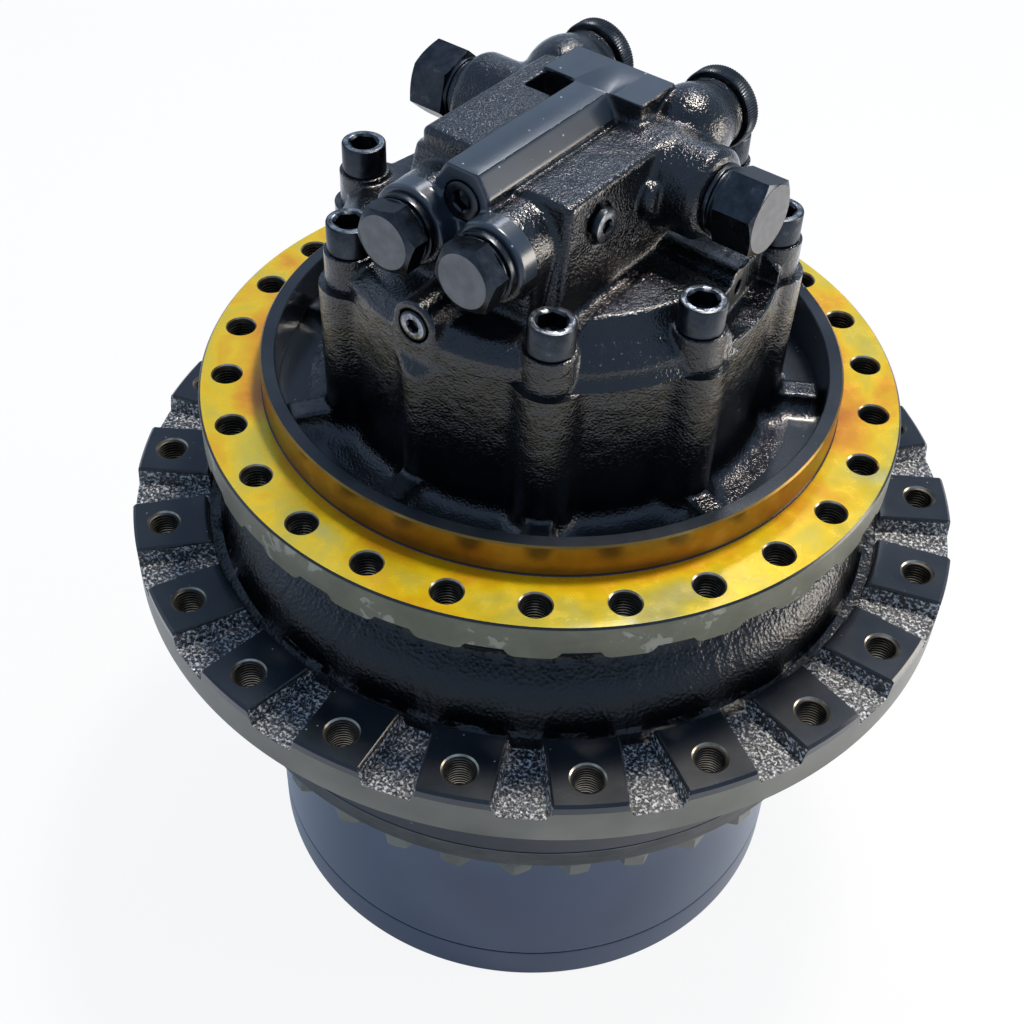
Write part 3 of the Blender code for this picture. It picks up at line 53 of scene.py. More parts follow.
def add(tree, kind, sockets=(), stops=(), **settings):
    """Adds a node with its settings. Its sockets take values or other nodes, and a ramp takes stops."""
    node = tree.nodes.new("ShaderNode" + kind)
    for name, value in settings.items():
        setattr(node, name, value)
    for k, (place, code) in enumerate(stops):
        stop = node.color_ramp.elements[k] if k < 2 else node.color_ramp.elements.new(place)
        stop.position, stop.color = place, colour(code)
    for socket, value in dict(sockets).items():
        if isinstance(value, bpy.types.Node):
            value = value.outputs[0]
        if isinstance(value, bpy.types.NodeSocket):
            tree.links.new(value, node.inputs[socket])
        else:
            node.inputs[socket].default_value = value
    return node


# A wave texture of scale 1 has its bands this many mm apart
BAND = 314


def start_finish(name):
    """A new material with an empty tree, and the place on the object in metres."""
    material = bpy.data.materials.new(name)
    material.use_nodes = True
    material.node_tree.nodes.clear()
    return material, material.node_tree, add(material.node_tree, "TexCoord").outputs["Object"]


def stack(*shapes):
    """Several shapes, each with points in mm, faces and a finish number per face, as one."""
    points, faces, finishes, count = [], [], [], 0
    for shape_points, shape_faces, shape_finishes in shapes:
        points.append(np.asarray(shape_points, float).reshape(-1, 3))
        faces += [[k + count for k in face] for face in shape_faces]
        finishes += list(shape_finishes)
        count += len(points[-1])
    return np.concatenate(points), faces, finishes


def moved(shape, matrix):
    """The same shape carried by a matrix."""
    points = np.asarray(shape[0], float) @ np.array(matrix.to_3x3()).T + np.array(matrix.translation)
    return points, shape[1], shape[2]


def shell(grid, finishes):
    """Faces over a grid of points: rows by columns, with the columns running round and the rows too."""
    rows, columns = grid.shape[:2]
    faces, tags = [], []
    for i in range(rows):
        here, below = i * columns, (i + 1) % rows * columns
        for j in range(columns):
            after = (j + 1) % columns
            faces.append([here + j, here + after, below + after, below + j])
        tags += [finishes[i]] * columns
    return grid.reshape(-1, 3), faces, tags


def turned(rows, columns):
    """A body turned round Z. A row is a radius, a height and maybe a finish number, and the radius and
    height may be functions of the angle in radians. Each row's finish runs on to the next row."""
    angles = np.arange(columns) * 2 * np.pi / columns
    grid = np.zeros((len(rows), len(angles), 3))
    finishes = []
    for i, row in enumerate(rows):
        r = row[0](angles) if callable(row[0]) else np.full(len(angles), float(row[0]))
        z = row[1](angles) if callable(row[1]) else np.full(len(angles), float(row[1]))
        grid[i] = np.stack([r * np.cos(angles), r * np.sin(angles), z], 1)
        finishes.append(row[2] if len(row) > 2 else 0)
    return shell(grid, finishes)


def eased(rows, size):
    """The same closed outline with each corner rounded by about that size."""
    result = []
    count = len(rows)
    for i, row in enumerate(rows):
        here = np.array(row[:2], float)
        if here[0] <= 0.01:
            result.append(row)
            continue
        sides = []
        for other in (rows[i - 1], rows[(i + 1) % count]):
            way = np.array(other[:2], float) - here
            length = max(np.hypot(*way), 1e-6)
            sides.append(here + way / length * min(size, length * 0.4))
        for t in (0.0, 0.5, 1.0):
            spot = sides[0] * (1 - t) ** 2 + here * 2 * t * (1 - t) + sides[1] * t ** 2
            owner = row if t == 1 else rows[i - 1]
            result.append((spot[0], spot[1], owner[2] if len(owner) > 2 else 0))
    return result


def dress(name, mesh, finishes, body, replaces, sharp):
    """Puts a mesh in the scene with its finishes, and says what it rides on and stands for."""
    for finish in finishes:
        mesh.materials.append(finish)
    mesh.shade_smooth()
    mesh.set_sharp_from_angle(angle=math.radians(sharp))
    piece = bpy.data.objects.new(name, mesh)
    bpy.context.collection.objects.link(piece)
    if body:
        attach(piece, body)
    if replaces:
        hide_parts(*replaces)
    return piece


def build(name, shape, finishes, body, replaces=(), sharp=32, weighted=False):
    """A piece of the object from a shape in mm, riding a body."""
    mesh = bpy.data.meshes.new(name)
    mesh.from_pydata((np.asarray(shape[0]) * 0.001).tolist(), [], [list(map(int, face)) for face in shape[1]])
    mesh.polygons.foreach_set("material_index", np.array(shape[2], np.int32))
    form = bmesh.new()
    form.from_mesh(mesh)
    bmesh.ops.remove_doubles(form, verts=form.verts, dist=2e-6)
    bmesh.ops.dissolve_degenerate(form, edges=form.edges, dist=1e-6)
    bmesh.ops.recalc_face_normals(form, faces=form.faces)
    form.to_mesh(mesh)
    form.free()
    piece = dress(name, mesh, finishes, body, replaces, sharp)
    if weighted:
        piece.modifiers.new("flat_faces_stay_flat", "WEIGHTED_NORMAL").keep_sharp = True
    return piece


def cut_away(piece, shape, finishes, sharp=32):
    """Cuts a shape out of a piece. The faces it leaves take its finishes."""
    tool = build(piece.name + "_tool", shape, finishes, None)
    change = piece.modifiers.new("cut", "BOOLEAN")
    change.operation, change.solver = "DIFFERENCE", "EXACT"
    change.object, change.material_mode = tool, "TRANSFER"
    mesh = bpy.data.meshes.new_from_object(piece.evaluated_get(bpy.context.evaluated_depsgraph_get()))
    piece.modifiers.clear()
    form = bmesh.new()
    form.from_mesh(mesh)
    bmesh.ops.remove_doubles(form, verts=form.verts, dist=5e-6)
    bmesh.ops.dissolve_degenerate(form, edges=form.edges, dist=5e-6)
    form.to_mesh(mesh)
    form.free()
    piece.data = mesh
    mesh.set_sharp_from_angle(angle=math.radians(sharp))
    bpy.data.objects.remove(tool)
    piece.modifiers.new("flat_faces_stay_flat", "WEIGHTED_NORMAL").keep_sharp = True


def turn_to(direction, place):
    """Carries a shape drawn along Z to a place in mm, with Z along the direction."""
    return Matrix.Translation(place) @ Vector(direction).to_track_quat("Z", "Y").to_matrix().to_4x4()


def on_circle(radius, degrees):
    """A place on a circle about Z."""
    return radius * math.cos(math.radians(degrees)), radius * math.sin(math.radians(degrees))


def spots(radius, count, start):
    """Evenly spaced places on a circle about Z, with their angles in degrees."""
    for k in range(count):
        degrees = start + 360 * k / count
        yield *on_circle(radius, degrees), degrees


def ring_of(shape, radius, count, start=0.0):
    """Copies of a shape on a circle about Z."""
    return stack(*[moved(shape, Matrix.Translation((x, y, 0))) for x, y, _ in spots(radius, count, start)])


def flats(across):
    """Radius of a hexagon of that width across its flats, as a function of the angle."""
    return lambda a: across / 2 / np.cos((a + np.pi / 6) % (np.pi / 3) - np.pi / 6)


# Dark blue enamel over turned iron: a smooth satin film that mirrors the floor, with dust of 1.5 mm in it.
# The lathe's feed of 0.3 mm is too fine to show, so its rings are drawn 3 mm apart and very faint
DRUM_BLUE, tree, place = start_finish("dark_blue_enamel_on_turned_iron")
cloud = add(tree, "TexNoise", {"Vector": place, "Scale": 1000 / 90, "Detail": 4.0})
shade = add(tree, "ValToRGB", {"Fac": cloud}, stops=[(0.3, "#454f63"), (0.7, "#535f75")])
speck = add(tree, "TexNoise", {"Vector": place, "Scale": 1000 / 1.5, "Detail": 1.0})
dust = add(tree, "MapRange", {0: speck, 1: 0.74, 2: 0.82, 3: 0.0, 4: 0.4})
shade = add(tree, "Mix", {0: dust, 6: shade.outputs[0], 7: colour("#7c828c")}, data_type="RGBA")
rings = add(tree, "TexWave", {"Vector": place, "Scale": BAND / 3.0, "Distortion": 0.8}, bands_direction="Z")
gloss = add(tree, "MapRange", {0: rings, 1: 0.0, 2: 1.0, 3: 0.2, 4: 0.24})
grain = add(tree, "TexNoise", {"Vector": place, "Scale": 1000 / 4, "Detail": 3.0})
relief = add(tree, "Bump", {"Height": grain, "Distance": 0.00005})
surface = add(tree, "BsdfPrincipled", {
    "Base Color": shade.outputs[2], "Metallic": 0.8, "Roughness": gloss, "Normal": relief,
    "Coat Weight": 1.0, "Coat Roughness": 0.08})
add(tree, "OutputMaterial", {"Surface": surface})

# Black oxide on turned steel: dark and satin, with steel showing through in patches of about 8 mm
BLACK_OXIDE, tree, place = start_finish("black_oxide_on_turned_steel")
worn = add(tree, "TexNoise", {"Vector": place, "Scale": 1000 / 8, "Detail": 6.0, "Roughness": 0.65})
shade = add(tree, "ValToRGB", {"Fac": worn}, stops=[(0.35, "#3a3d41"), (0.62, "#4a4e53"), (0.8, "#7e8388")])
gloss = add(tree, "MapRange", {0: worn, 1: 0.3, 2: 0.7, 3: 0.24, 4: 0.36})
grain = add(tree, "TexNoise", {"Vector": place, "Scale": 1000 / 1.5})
relief = add(tree, "Bump", {"Height": grain, "Distance": 0.00003})
surface = add(tree, "BsdfPrincipled", {
    "Base Color": shade, "Metallic": 1.0, "Roughness": gloss, "Normal": relief})
add(tree, "OutputMaterial", {"Surface": surface})

DRUM_R, COVER_TOP, COVER_DISH, COVER_RIM_IN = 217.5, 30.8, 4.0, 160.0
SPIGOT_R, SPIGOT_TOP = 190, 35.7
COVER_SCREWS, COVER_SCREW_CIRCLE, FIRST_COVER_SCREW, COVER_SCREW_FACE = 20, 189, 9, 1.5
OIL_PLUG_CIRCLE, OIL_PLUG_FACE = 105, 3.0
cover_rows = eased([(0, COVER_DISH), (COVER_RIM_IN - 4, COVER_DISH), (COVER_RIM_IN, 0), (DRUM_R, 0),
                    (DRUM_R, COVER_TOP), (SPIGOT_R, COVER_TOP), (SPIGOT_R, SPIGOT_TOP), (0, SPIGOT_TOP)], 1.6)
end_cover = build("end_cover_disc", turned(cover_rows, 256), [DRUM_BLUE], "drum", ["end_cover"])
screw_seat = turned([(0, 14), (0, -1), (9.3, -1), (9.3, 14)], 32)
plug_seat = turned([(0, 25), (0, -1), (16, -1), (16, 25)], 48)
oil_plugs = {"drain_plug": on_circle(OIL_PLUG_CIRCLE, -100), "level_plug": on_circle(OIL_PLUG_CIRCLE, 170)}
cut_away(end_cover, stack(ring_of(screw_seat, COVER_SCREW_CIRCLE, COVER_SCREWS, FIRST_COVER_SCREW),
                          *[moved(plug_seat, Matrix.Translation((x, y, 0))) for x, y in oil_plugs.values()]),
         [DRUM_BLUE])


def socket_head(radius, height, across, depth, round_edge=1.2):
    """A socket screw's head along Z with its top at 0: a chamfered hexagon socket and an eased rim."""
    hexagon = flats(across)
    return turned([(0, -depth - 2), (lambda a: hexagon(a) * 0.98, -depth), (hexagon, -1.2),
                   (across * 0.62, 0, 1), (radius - round_edge, 0),
                   (radius - round_edge * 0.3, -round_edge * 0.3), (radius, -round_edge),
                   (radius, -height), (0, -height)], 72)


cover_screw = moved(socket_head(radius=8.9, height=12, across=10, depth=6, round_edge=0.8),
                    turn_to((0, 0, -1), (0, 0, COVER_SCREW_FACE)))
build("end_cover_screws", ring_of(cover_screw, COVER_SCREW_CIRCLE, COVER_SCREWS, FIRST_COVER_SCREW),
      [BLACK_OXIDE, BLACK_OXIDE], "drum")
for name, (x, y) in oil_plugs.items():
    head = socket_head(radius=15, height=19, across=12, depth=9)
    build(name + "_turned", moved(head, turn_to((0, 0, -1), (x, y, OIL_PLUG_FACE))),
          [BLACK_OXIDE, BLACK_OXIDE], "drum", [name])

# Ring gear housing
# The drum's plain cylinder, turned from a forged ring with the ring gear's teeth broached inside it. Its
# top flange is held up against the sprocket hub by 36 hexagon bolts, whose heads show under the flange.
FLANGE_LOW, FLANGE_TOP, HUB_OUT_R = 221.0, 238.85, 260.0
FLANGE_R, HOUSING_FOOT, RING_TEETH = HUB_OUT_R - 1.4, 31.2, 48
FLANGE_BOLTS, FLANGE_BOLT_CIRCLE, FLANGE_BOLT_FACE = 36, 244, 205.2


def tooth_side(root, tip):
    """Radius of the ring gear's inside, with the sloping sides of its teeth."""
    def radius(a):
        phase = np.abs((a * RING_TEETH / (2 * np.pi)) % 1 - 0.5) * 2
        return root + (tip - root) * np.clip((phase - 0.38) / 0.3, 0, 1)
    return radius


# Bare turned steel: olive grey under a film of oil, with stains of about 70 mm and a lathe's feed of
# 0.4 mm, which is drawn as rings 2 mm apart so that it shows
RIM_STEEL, tree, place = start_finish("bare_turned_steel_with_oil_film")
stain = add(tree, "TexNoise", {"Vector": place, "Scale": 1000 / 70, "Detail": 3.0, "Roughness": 0.5})
shade = add(tree, "ValToRGB", {"Fac": stain}, stops=[(0.3, "#62625a"), (0.5, "#73736a"), (0.7, "#838379")])
gloss = add(tree, "MapRange", {0: stain, 1: 0.3, 2: 0.7, 3: 0.34, 4: 0.42})
rings = add(tree, "TexWave", {"Vector": place, "Scale": BAND / 2.0, "Distortion": 0.4}, bands_direction="Z")
relief = add(tree, "Bump", {"Height": rings, "Distance": 0.00002})
surface = add(tree, "BsdfPrincipled", {
    "Base Color": shade, "Metallic": 0.7, "Roughness": gloss, "Normal": relief})
add(tree, "OutputMaterial", {"Surface": surface})


def mottled(name, size, stops, metallic, roughness, detail=4.0, blend=0.5, grain=None):
    """A finish of one colour in patches of a size in mm. Its grain has a size in mm and a depth in metres."""
    material, tree, place = start_finish(name)
    patch = {"Vector": place, "Scale": 1000 / size, "Detail": detail, "Roughness": blend}
    shade = add(tree, "ValToRGB", {"Fac": add(tree, "TexNoise", patch)}, stops=stops)
    sockets = {"Base Color": shade, "Metallic": metallic, "Roughness": roughness}
    if grain:
        height = add(tree, "TexNoise", {"Vector": place, "Scale": 1000 / grain[0]})
        sockets["Normal"] = add(tree, "Bump", {"Height": height, "Distance": grain[1]})
    add(tree, "OutputMaterial", {"Surface": add(tree, "BsdfPrincipled", sockets)})
    return material


# The same steel under a thin coat of primer: dark olive grey and dull, patchy over about 30 mm
PRIMED = mottled("thin_dark_primer_on_turned_steel", 30,
                 [(0.35, "#3c3d3a"), (0.6, "#4d4e4a"), (0.75, "#65665f")],
                 metallic=0.4, roughness=0.42, detail=5.0, blend=0.6, grain=(3, 0.00006))

teeth = tooth_side(root=202, tip=185)
housing_rows = eased([(HUB_OUT_R, FLANGE_TOP, 0), (HUB_OUT_R, FLANGE_LOW + 9, 0),
                      (FLANGE_R, FLANGE_LOW + 7.5, 0), (FLANGE_R, FLANGE_LOW, 0), (DRUM_R + 1, FLANGE_LOW, 2),
                      (DRUM_R, FLANGE_LOW - 2, 2), (DRUM_R, HOUSING_FOOT + 1.2, 2),
                      (DRUM_R - 1.2, HOUSING_FOOT, 2)], 0.8)
housing_rows += [(teeth, HOUSING_FOOT, 2), (teeth, FLANGE_TOP, 0)]
build("ring_gear_drum", turned(housing_rows, 8 * RING_TEETH), [PRIMED, RIM_STEEL, DRUM_BLUE], "drum",
      ["ring_gear_housing"], weighted=True)


def hexagon_head(across, height, face_r, slope, face_finish=1, back_r=None, columns=96):
    """A hexagon head along Z with its face at 0: a round face and a cone that runs out on the flats."""
    hexagon = flats(across)
    rows = [(0, 0, face_finish), (face_r, 0, 0), (face_r + 0.3, -0.25, 0),
            (hexagon, lambda a: -0.25 - (hexagon(a) - face_r - 0.3) * slope, 0)]
    if back_r:
        rows += [(hexagon, lambda a: -height + np.maximum(hexagon(a) - back_r, 0) * slope, 0),
                 (lambda a: np.minimum(hexagon(a), back_r), -height, 0)]
    else:
        rows += [(hexagon, -height, 0)]
    return turned(rows + [(0, -height, 0)], columns)


bolt = stack(hexagon_head(24, 13, 11.2, 0.5, face_finish=0, columns=48),
             turned([(0, -12.8), (14, -12.8), (14, -16), (0, -16)], 48))
bolts = []
for x, y, degrees in spots(FLANGE_BOLT_CIRCLE, FLANGE_BOLTS, 4):
    tightened = moved(bolt, Matrix.Rotation(math.radians(degrees * 7.0), 4, "Z"))
    bolts.append(moved(tightened, turn_to((0, 0, -1), (x, y, FLANGE_BOLT_FACE))))
build("ring_flange_bolts", stack(*bolts), [RIM_STEEL], "drum")

# Sprocket hub
# One big iron casting that turns on the main bearings: a flange with 22 machined pads and tapped holes for
# the track sprocket, rough wedges as cast between the pads, and a rough round shoulder up to its neck.
PADS, FIRST_PAD, SPROCKET_R, PAD_Z, GROOVE_Z = 22, 1.77, 307.2, 360.4, 347.5
HALF_PAD, PAD_FOOT_R, PAD_OUT, PAD_HOLES_R = 27.2, 252.3, 305.2, 285.5
NECK_TOP, SEAL_BORE_R, SEAL_LEDGE = 427.6, 196, 399.2
HUB_FOOT, HUB_MOUTH_R, BEARING_BORE_R, BEARING_RIB_R = 239.15, 204, 182, 175

# Gloss black enamel over a milled face: flat and dark, with dust of 1 to 2 mm that catches the light
PAD_BLACK, tree, place = start_finish("black_enamel_on_milled_iron")
cloud = add(tree, "TexNoise", {"Vector": place, "Scale": 1000 / 45, "Detail": 4.0})
shade = add(tree, "ValToRGB", {"Fac": cloud}, stops=[(0.3, "#161b21"), (0.7, "#20262d")])
speck = add(tree, "TexVoronoi", {"Vector": place, "Scale": 1000 / 6})
speck = add(tree, "MapRange", {0: speck, 1: 0.12, 2: 0.05, 3: 0.0, 4: 1.0})
rare = add(tree, "TexNoise", {"Vector": place, "Scale": 1000 / 16})
rare = add(tree, "MapRange", {0: rare, 1: 0.58, 2: 0.64, 3: 0.0, 4: 1.0})
dust = add(tree, "Math", {0: speck, 1: rare}, operation="MULTIPLY")
shade = add(tree, "Mix", {0: dust, 6: shade.outputs[0], 7: colour("#9aa0a4")}, data_type="RGBA")
gloss = add(tree, "MapRange", {0: cloud, 1: 0.3, 2: 0.7, 3: 0.2, 4: 0.28})
grain = add(tree, "TexNoise", {"Vector": place, "Scale": 1000 / 2})
relief = add(tree, "Bump", {"Height": grain, "Distance": 0.00002})
surface = add(tree, "BsdfPrincipled", {
    "Base Color": shade.outputs[2], "Roughness": gloss, "Normal": relief, "Coat Weight": 0.15,
    "Coat Roughness": 0.15})
add(tree, "OutputMaterial", {"Surface": surface})

# Gloss black enamel over sand-cast iron: the sand's grain shows as leathery lumps of 1 to 2 mm, and the
# pattern's joints and hand dressing as waves of 12 mm, which break the reflections up
CAST_BLACK, tree, place = start_finish("gloss_black_enamel_on_sand_cast_iron")
cloud = add(tree, "TexNoise", {"Vector": place, "Scale": 1000 / 60, "Detail": 4.0})
shade = add(tree, "ValToRGB", {"Fac": cloud}, stops=[(0.3, "#08090b"), (0.7, "#0f1113")])
lumps = add(tree, "TexNoise", {"Vector": place, "Scale": 1000 / 1.7, "Detail": 2.0, "Roughness": 0.5,
                               "Distortion": 0.3})
waves = add(tree, "TexNoise", {"Vector": place, "Scale": 1000 / 12, "Detail": 1.0})
height = add(tree, "Math", {0: waves, 1: 1.6, 2: lumps}, operation="MULTIPLY_ADD")
relief = add(tree, "Bump", {"Height": height, "Distance": 0.0006})
gloss = add(tree, "MapRange", {0: cloud, 1: 0.3, 2: 0.7, 3: 0.14, 4: 0.2})
surface = add(tree, "BsdfPrincipled", {
    "Base Color": shade, "Roughness": gloss, "Normal": relief, "Coat Weight": 0.7,
    "Coat Roughness": 0.05, "Coat Normal": relief})
add(tree, "OutputMaterial", {"Surface": surface})

# The coarsest skin, where the iron met coarse sand: pits and grains of 2 to 3 mm under the same enamel
ROUGH_CAST, tree, place = start_finish("black_enamel_on_coarse_cast_iron")
grit = add(tree, "TexNoise", {"Vector": place, "Scale": 1000 / 2.2, "Detail": 3.0, "Roughness": 0.6,
                              "Distortion": 0.3})
grains = add(tree, "TexVoronoi", {"Vector": place, "Scale": 1000 / 2.8})
shade = add(tree, "ValToRGB", {"Fac": grit}, stops=[(0.35, "#050607"), (0.6, "#0a0b0c"), (0.75, "#1c1e20")])
height = add(tree, "Math", {0: grit, 1: grains}, operation="ADD")
relief = add(tree, "Bump", {"Height": height, "Distance": 0.0004})
surface = add(tree, "BsdfPrincipled", {
    "Base Color": shade, "Roughness": 0.3, "Normal": relief, "Coat Weight": 0.35,
    "Coat Roughness": 0.14, "Coat Normal": relief})
add(tree, "OutputMaterial", {"Surface": surface})

# Cut threads: bright steel with a bronze tint from oil, patchy over about 10 mm
THREAD_STEEL = mottled("cut_thread_with_oil", 10, [(0.35, "#857c6b"), (0.55, "#b2aa99"), (0.7, "#d0cabd")],
                       metallic=0.9, roughness=0.32, detail=3.0)

# The thread's roots and flanks, painted dark as the shade that falls in them
SHADED_ROOT = mottled("thread_root_painted_shade", 10, [(0.35, "#1d1b18"), (0.7, "#38342c")],
                    metallic=0.5, roughness=0.4, detail=3.0)

# Grooves between the pads: the same coarse skin, with pale grains painted into its colour as glints of light
# on the grit
GROOVE_CAST, tree, place = start_finish("coarse_cast_iron_with_painted_glints")
grit = add(tree, "TexNoise", {"Vector": place, "Scale": 1000 / 2.3, "Detail": 3.0, "Roughness": 0.6,
                              "Distortion": 0.3})
# The pale stops are painted highlights, the sparkle of light on the grit
shade = add(tree, "ValToRGB", {"Fac": grit}, stops=[(0.41, "#0f1011"), (0.52, "#47494b"), (0.62, "#d6d6d4")])
relief = add(tree, "Bump", {"Height": grit, "Distance": 0.0012})
surface = add(tree, "BsdfPrincipled", {
    "Base Color": shade, "Roughness": 0.26, "Normal": relief, "Coat Weight": 0.8,
    "Coat Roughness": 0.12, "Coat Normal": relief})
add(tree, "OutputMaterial", {"Surface": surface})


def hub_top():
    """Points of the hub's surface, sector by sector, with columns that follow the pads' parallel sides."""
    half_sector = math.pi / PADS
    in_groove = np.linspace(0, 1, 7)
    across = np.array([0.0, 2.4, 3.2, 3.9, 5.6, 9, 14, 19.5, HALF_PAD])
    rows = [(SEAL_BORE_R, NECK_TOP - 0.6, 3), (SEAL_BORE_R + 1, NECK_TOP, 3), (212.5, NECK_TOP, 0),
            (213.6, NECK_TOP - 1, 0), (213.8, 396, 2), (215, 392, 2), (219, 388, 2), (226, 383.5, 2),
            (232, 378, 2), (237, 371, 2), (240, 363, 2), (241.2, 356, 2), (242.2, 351, 2), (244.5, 348.2, 2),
            (248, GROOVE_Z, 2), (250.5, GROOVE_Z, 2), (PAD_FOOT_R, GROOVE_Z + 0.1, 2)]
    first_pad_row = len(rows)
    pad_radii = (253.2, 253.8, 254.6, 256.4, *np.linspace(261, 300, 9), 303.2, 304.4, PAD_OUT)
    rows += [(r, None, 2) for r in pad_radii]
    last_pad_row = len(rows)
    rows += [(SPROCKET_R, "edge", 1), (SPROCKET_R, "paint", 1), (SPROCKET_R, 325.2, 1), (305.6, 323.2, 1),
             (262, 323, 0), (260.6, 321.5, 0), (HUB_OUT_R, 320, 0), (HUB_OUT_R, HUB_FOOT + 0.75, 0),
             (HUB_OUT_R - 0.8, HUB_FOOT, 0), (HUB_MOUTH_R, HUB_FOOT, 0), (HUB_MOUTH_R, 256.3, 0),
             (BEARING_BORE_R, 256.3, 0), (BEARING_BORE_R, 306, 0), (BEARING_RIB_R, 306, 0),
             (BEARING_RIB_R, 350, 0), (BEARING_BORE_R, 350, 0), (BEARING_BORE_R, SEAL_LEDGE, 0),
             (SEAL_BORE_R, SEAL_LEDGE, 0)]
    grid, levels = [], []
    for index, (r, z, _) in enumerate(rows):
        pad_angle = math.asin(HALF_PAD / max(r, 250))
        angles, level = [], []
        for share in in_groove[:-1]:
            angles.append(pad_angle + (half_sector - pad_angle) * (1 - share))
            level.append(0.0)
        for inset, high in zip(across, (0.0, 0.8, 0.93, 1.0, 1, 1, 1, 1, 1)):
            angles.append(math.asin((HALF_PAD - inset) / max(r, 250)))
            level.append(high)
        angles = np.array(angles[:-1] + [0.0] + [-a for a in angles[:-1]][::-1][:-1])
        level = np.array(level[:-1] + [1.0] + level[:-1][::-1][:-1])
        in_pads = first_pad_row <= index < last_pad_row
        row_level = 0.0
        if in_pads:
            row_level = np.interp(r, [PAD_FOOT_R, 253.2, 254.6, 256.4], [0, 0.8, 0.96, 1])
        heights = np.full(len(angles), 0.0)
        if z is None:
            heights[:] = GROOVE_Z + level * row_level * (PAD_Z - GROOVE_Z)
            if r > 300:
                heights -= (1 - level) * (r - 300) * 0.1
        elif z == "edge":
            heights[:] = GROOVE_Z - 0.7 + level * (PAD_Z - 1.8 - GROOVE_Z + 0.7)
        elif z == "paint":
            heights[:] = GROOVE_Z - 2.2 + level * (352.7 - GROOVE_Z + 2.2)
        else:
            heights[:] = z
        ring = []
        for k in range(PADS):
            turn = math.radians(FIRST_PAD + 360 * k / PADS) - angles
            ring.append(np.stack([r * np.cos(turn), r * np.sin(turn), heights], 1))
        grid.append(np.concatenate(ring))
        levels.append(np.tile(level * row_level, PADS))
    return np.array(grid), np.array(levels), rows, first_pad_row, last_pad_row


grid, levels, hub_rows, pad_from, pad_to = hub_top()
for i in range(4, pad_to):
    for j in range(grid.shape[1]):
        if levels[i, j] < 0.02:
            spot = Vector(grid[i, j])
            lift = noise.noise(spot * 0.16) * 0.9 + noise.noise(spot * 0.34) * 0.5
            grid[i, j, 2] += lift if i > 12 else lift * 0.5
            grid[i, j, :2] *= 1 + (0 if i > 12 else lift * 0.7 / 240)
hub = shell(grid, [row[2] for row in hub_rows])
columns = grid.shape[1]
hub_tags = np.array(hub[2]).reshape(len(hub_rows), columns)
for i in range(pad_from, pad_to):
    both = np.minimum(levels[i], np.roll(levels[i], -1))
    hub_tags[i] = np.where(both > 0.9, 0, np.where(both > 0.02, 3, 4))
hub_tags[pad_to - 1] = np.where(both > 0.9, 0, 4)
hub_tags[pad_to] = np.where(both > 0.5, 0, 1)
hub = build("sprocket_hub_casting", (hub[0], hub[1], hub_tags.ravel()),
            [PAD_BLACK, RIM_STEEL, ROUGH_CAST, CAST_BLACK, GROOVE_CAST], "drum", ["sprocket_hub"],
            28)


def tapped_hole(minor, low, top, mouth, chamfer=1.1):
    """The hole that is cut before the thread goes in: its mouth is chamfered."""
    return turned([(0, low), (minor, low), (minor, top - chamfer), (mouth, top + 0.05), (mouth, top + 3),
                   (0, top + 3)], 40)


def thread(crest, root, outside, low, high, pitch=2.5):
    """A cut thread's profile inside a hole, drawn as rings, since its lead is too small to see. Its roots and
    flanks take the second finish, a dark colour that is painted shade."""
    rows = [(outside, low, 1)]
    for k in range(int((high - low) / pitch)):
        z = low + k * pitch
        rows += [(root, z + 0.1, 1), (root, z + 0.5, 1), (crest + 0.5, z + pitch * 0.45, 0),
                 (crest, z + pitch * 0.6, 0), (crest, z + pitch * 0.85, 1)]
    return turned(rows + [(root, high - 0.05, 1), (outside, high, 1)], 36)


cut_away(hub, ring_of(tapped_hole(11.3, 321, PAD_Z, 12.4), PAD_HOLES_R, PADS, FIRST_PAD), [THREAD_STEEL], 28)
build("sprocket_hole_threads",
      ring_of(thread(9.9, 11.2, 11.8, 324, PAD_Z - 1.2), PAD_HOLES_R, PADS, FIRST_PAD),
      [THREAD_STEEL, SHADED_ROOT], "drum")

# Frame flange
# The fixed half's machined flange, which bolts to the track frame. Its face and pilot wall keep the yellow
# rust film from the machine shop, its rim has flaking primer, and 26 tapped holes go through it.
FRAME_FACE, FRAME_R, FRAME_LOW, FRAME_HOLES, FRAME_HOLES_R = 461.0, 249.5, 433.0, 26, 230
PILOT_R, PILOT_TOP, RECESS_R, FLOOR_R = 205.0, 486.0, 194.5, 189

# Yellow rust-proof film on turned steel: gold where it ran thick, olive where it is thin, in streaks of
# 80 mm. The lathe's feed of 0.5 mm is drawn as rings 1.8 mm apart, so that it shows
YELLOW_FILM, tree, place = start_finish("yellow_rust_proof_film_on_turned_steel")
split = add(tree, "SeparateXYZ", {"Vector": place})
flat = add(tree, "CombineXYZ", {"X": split.outputs["X"], "Y": split.outputs["Y"]})
radius = add(tree, "VectorMath", {0: flat}, operation="LENGTH").outputs["Value"]
flow = add(tree, "TexNoise", {"Vector": place, "Scale": 1000 / 80, "Detail": 5.0, "Roughness": 0.55,
                              "Distortion": 0.5})
near_wall = add(tree, "MapRange", {0: radius, 1: 0.206, 2: 0.228, 3: 0.18, 4: 0.0})
amount = add(tree, "Math", {0: flow, 1: near_wall}, operation="ADD")
shade = add(tree, "ValToRGB", {"Fac": amount},
            stops=[(0.30, "#bdb578"), (0.42, "#d8c440"), (0.52, "#f3cb08"), (0.64, "#eda808"),
                   (0.80, "#cb7616")])
streak = add(tree, "TexNoise", {"Vector": place, "Scale": 1000 / 14, "Detail": 4.0})
gloss = add(tree, "MapRange", {0: streak, 1: 0.3, 2: 0.7, 3: 0.17, 4: 0.32})
lathe = add(tree, "Math", {0: radius, 1: 2 * math.pi * 1000 / 1.8}, operation="MULTIPLY")
lathe = add(tree, "Math", {0: lathe}, operation="SINE")
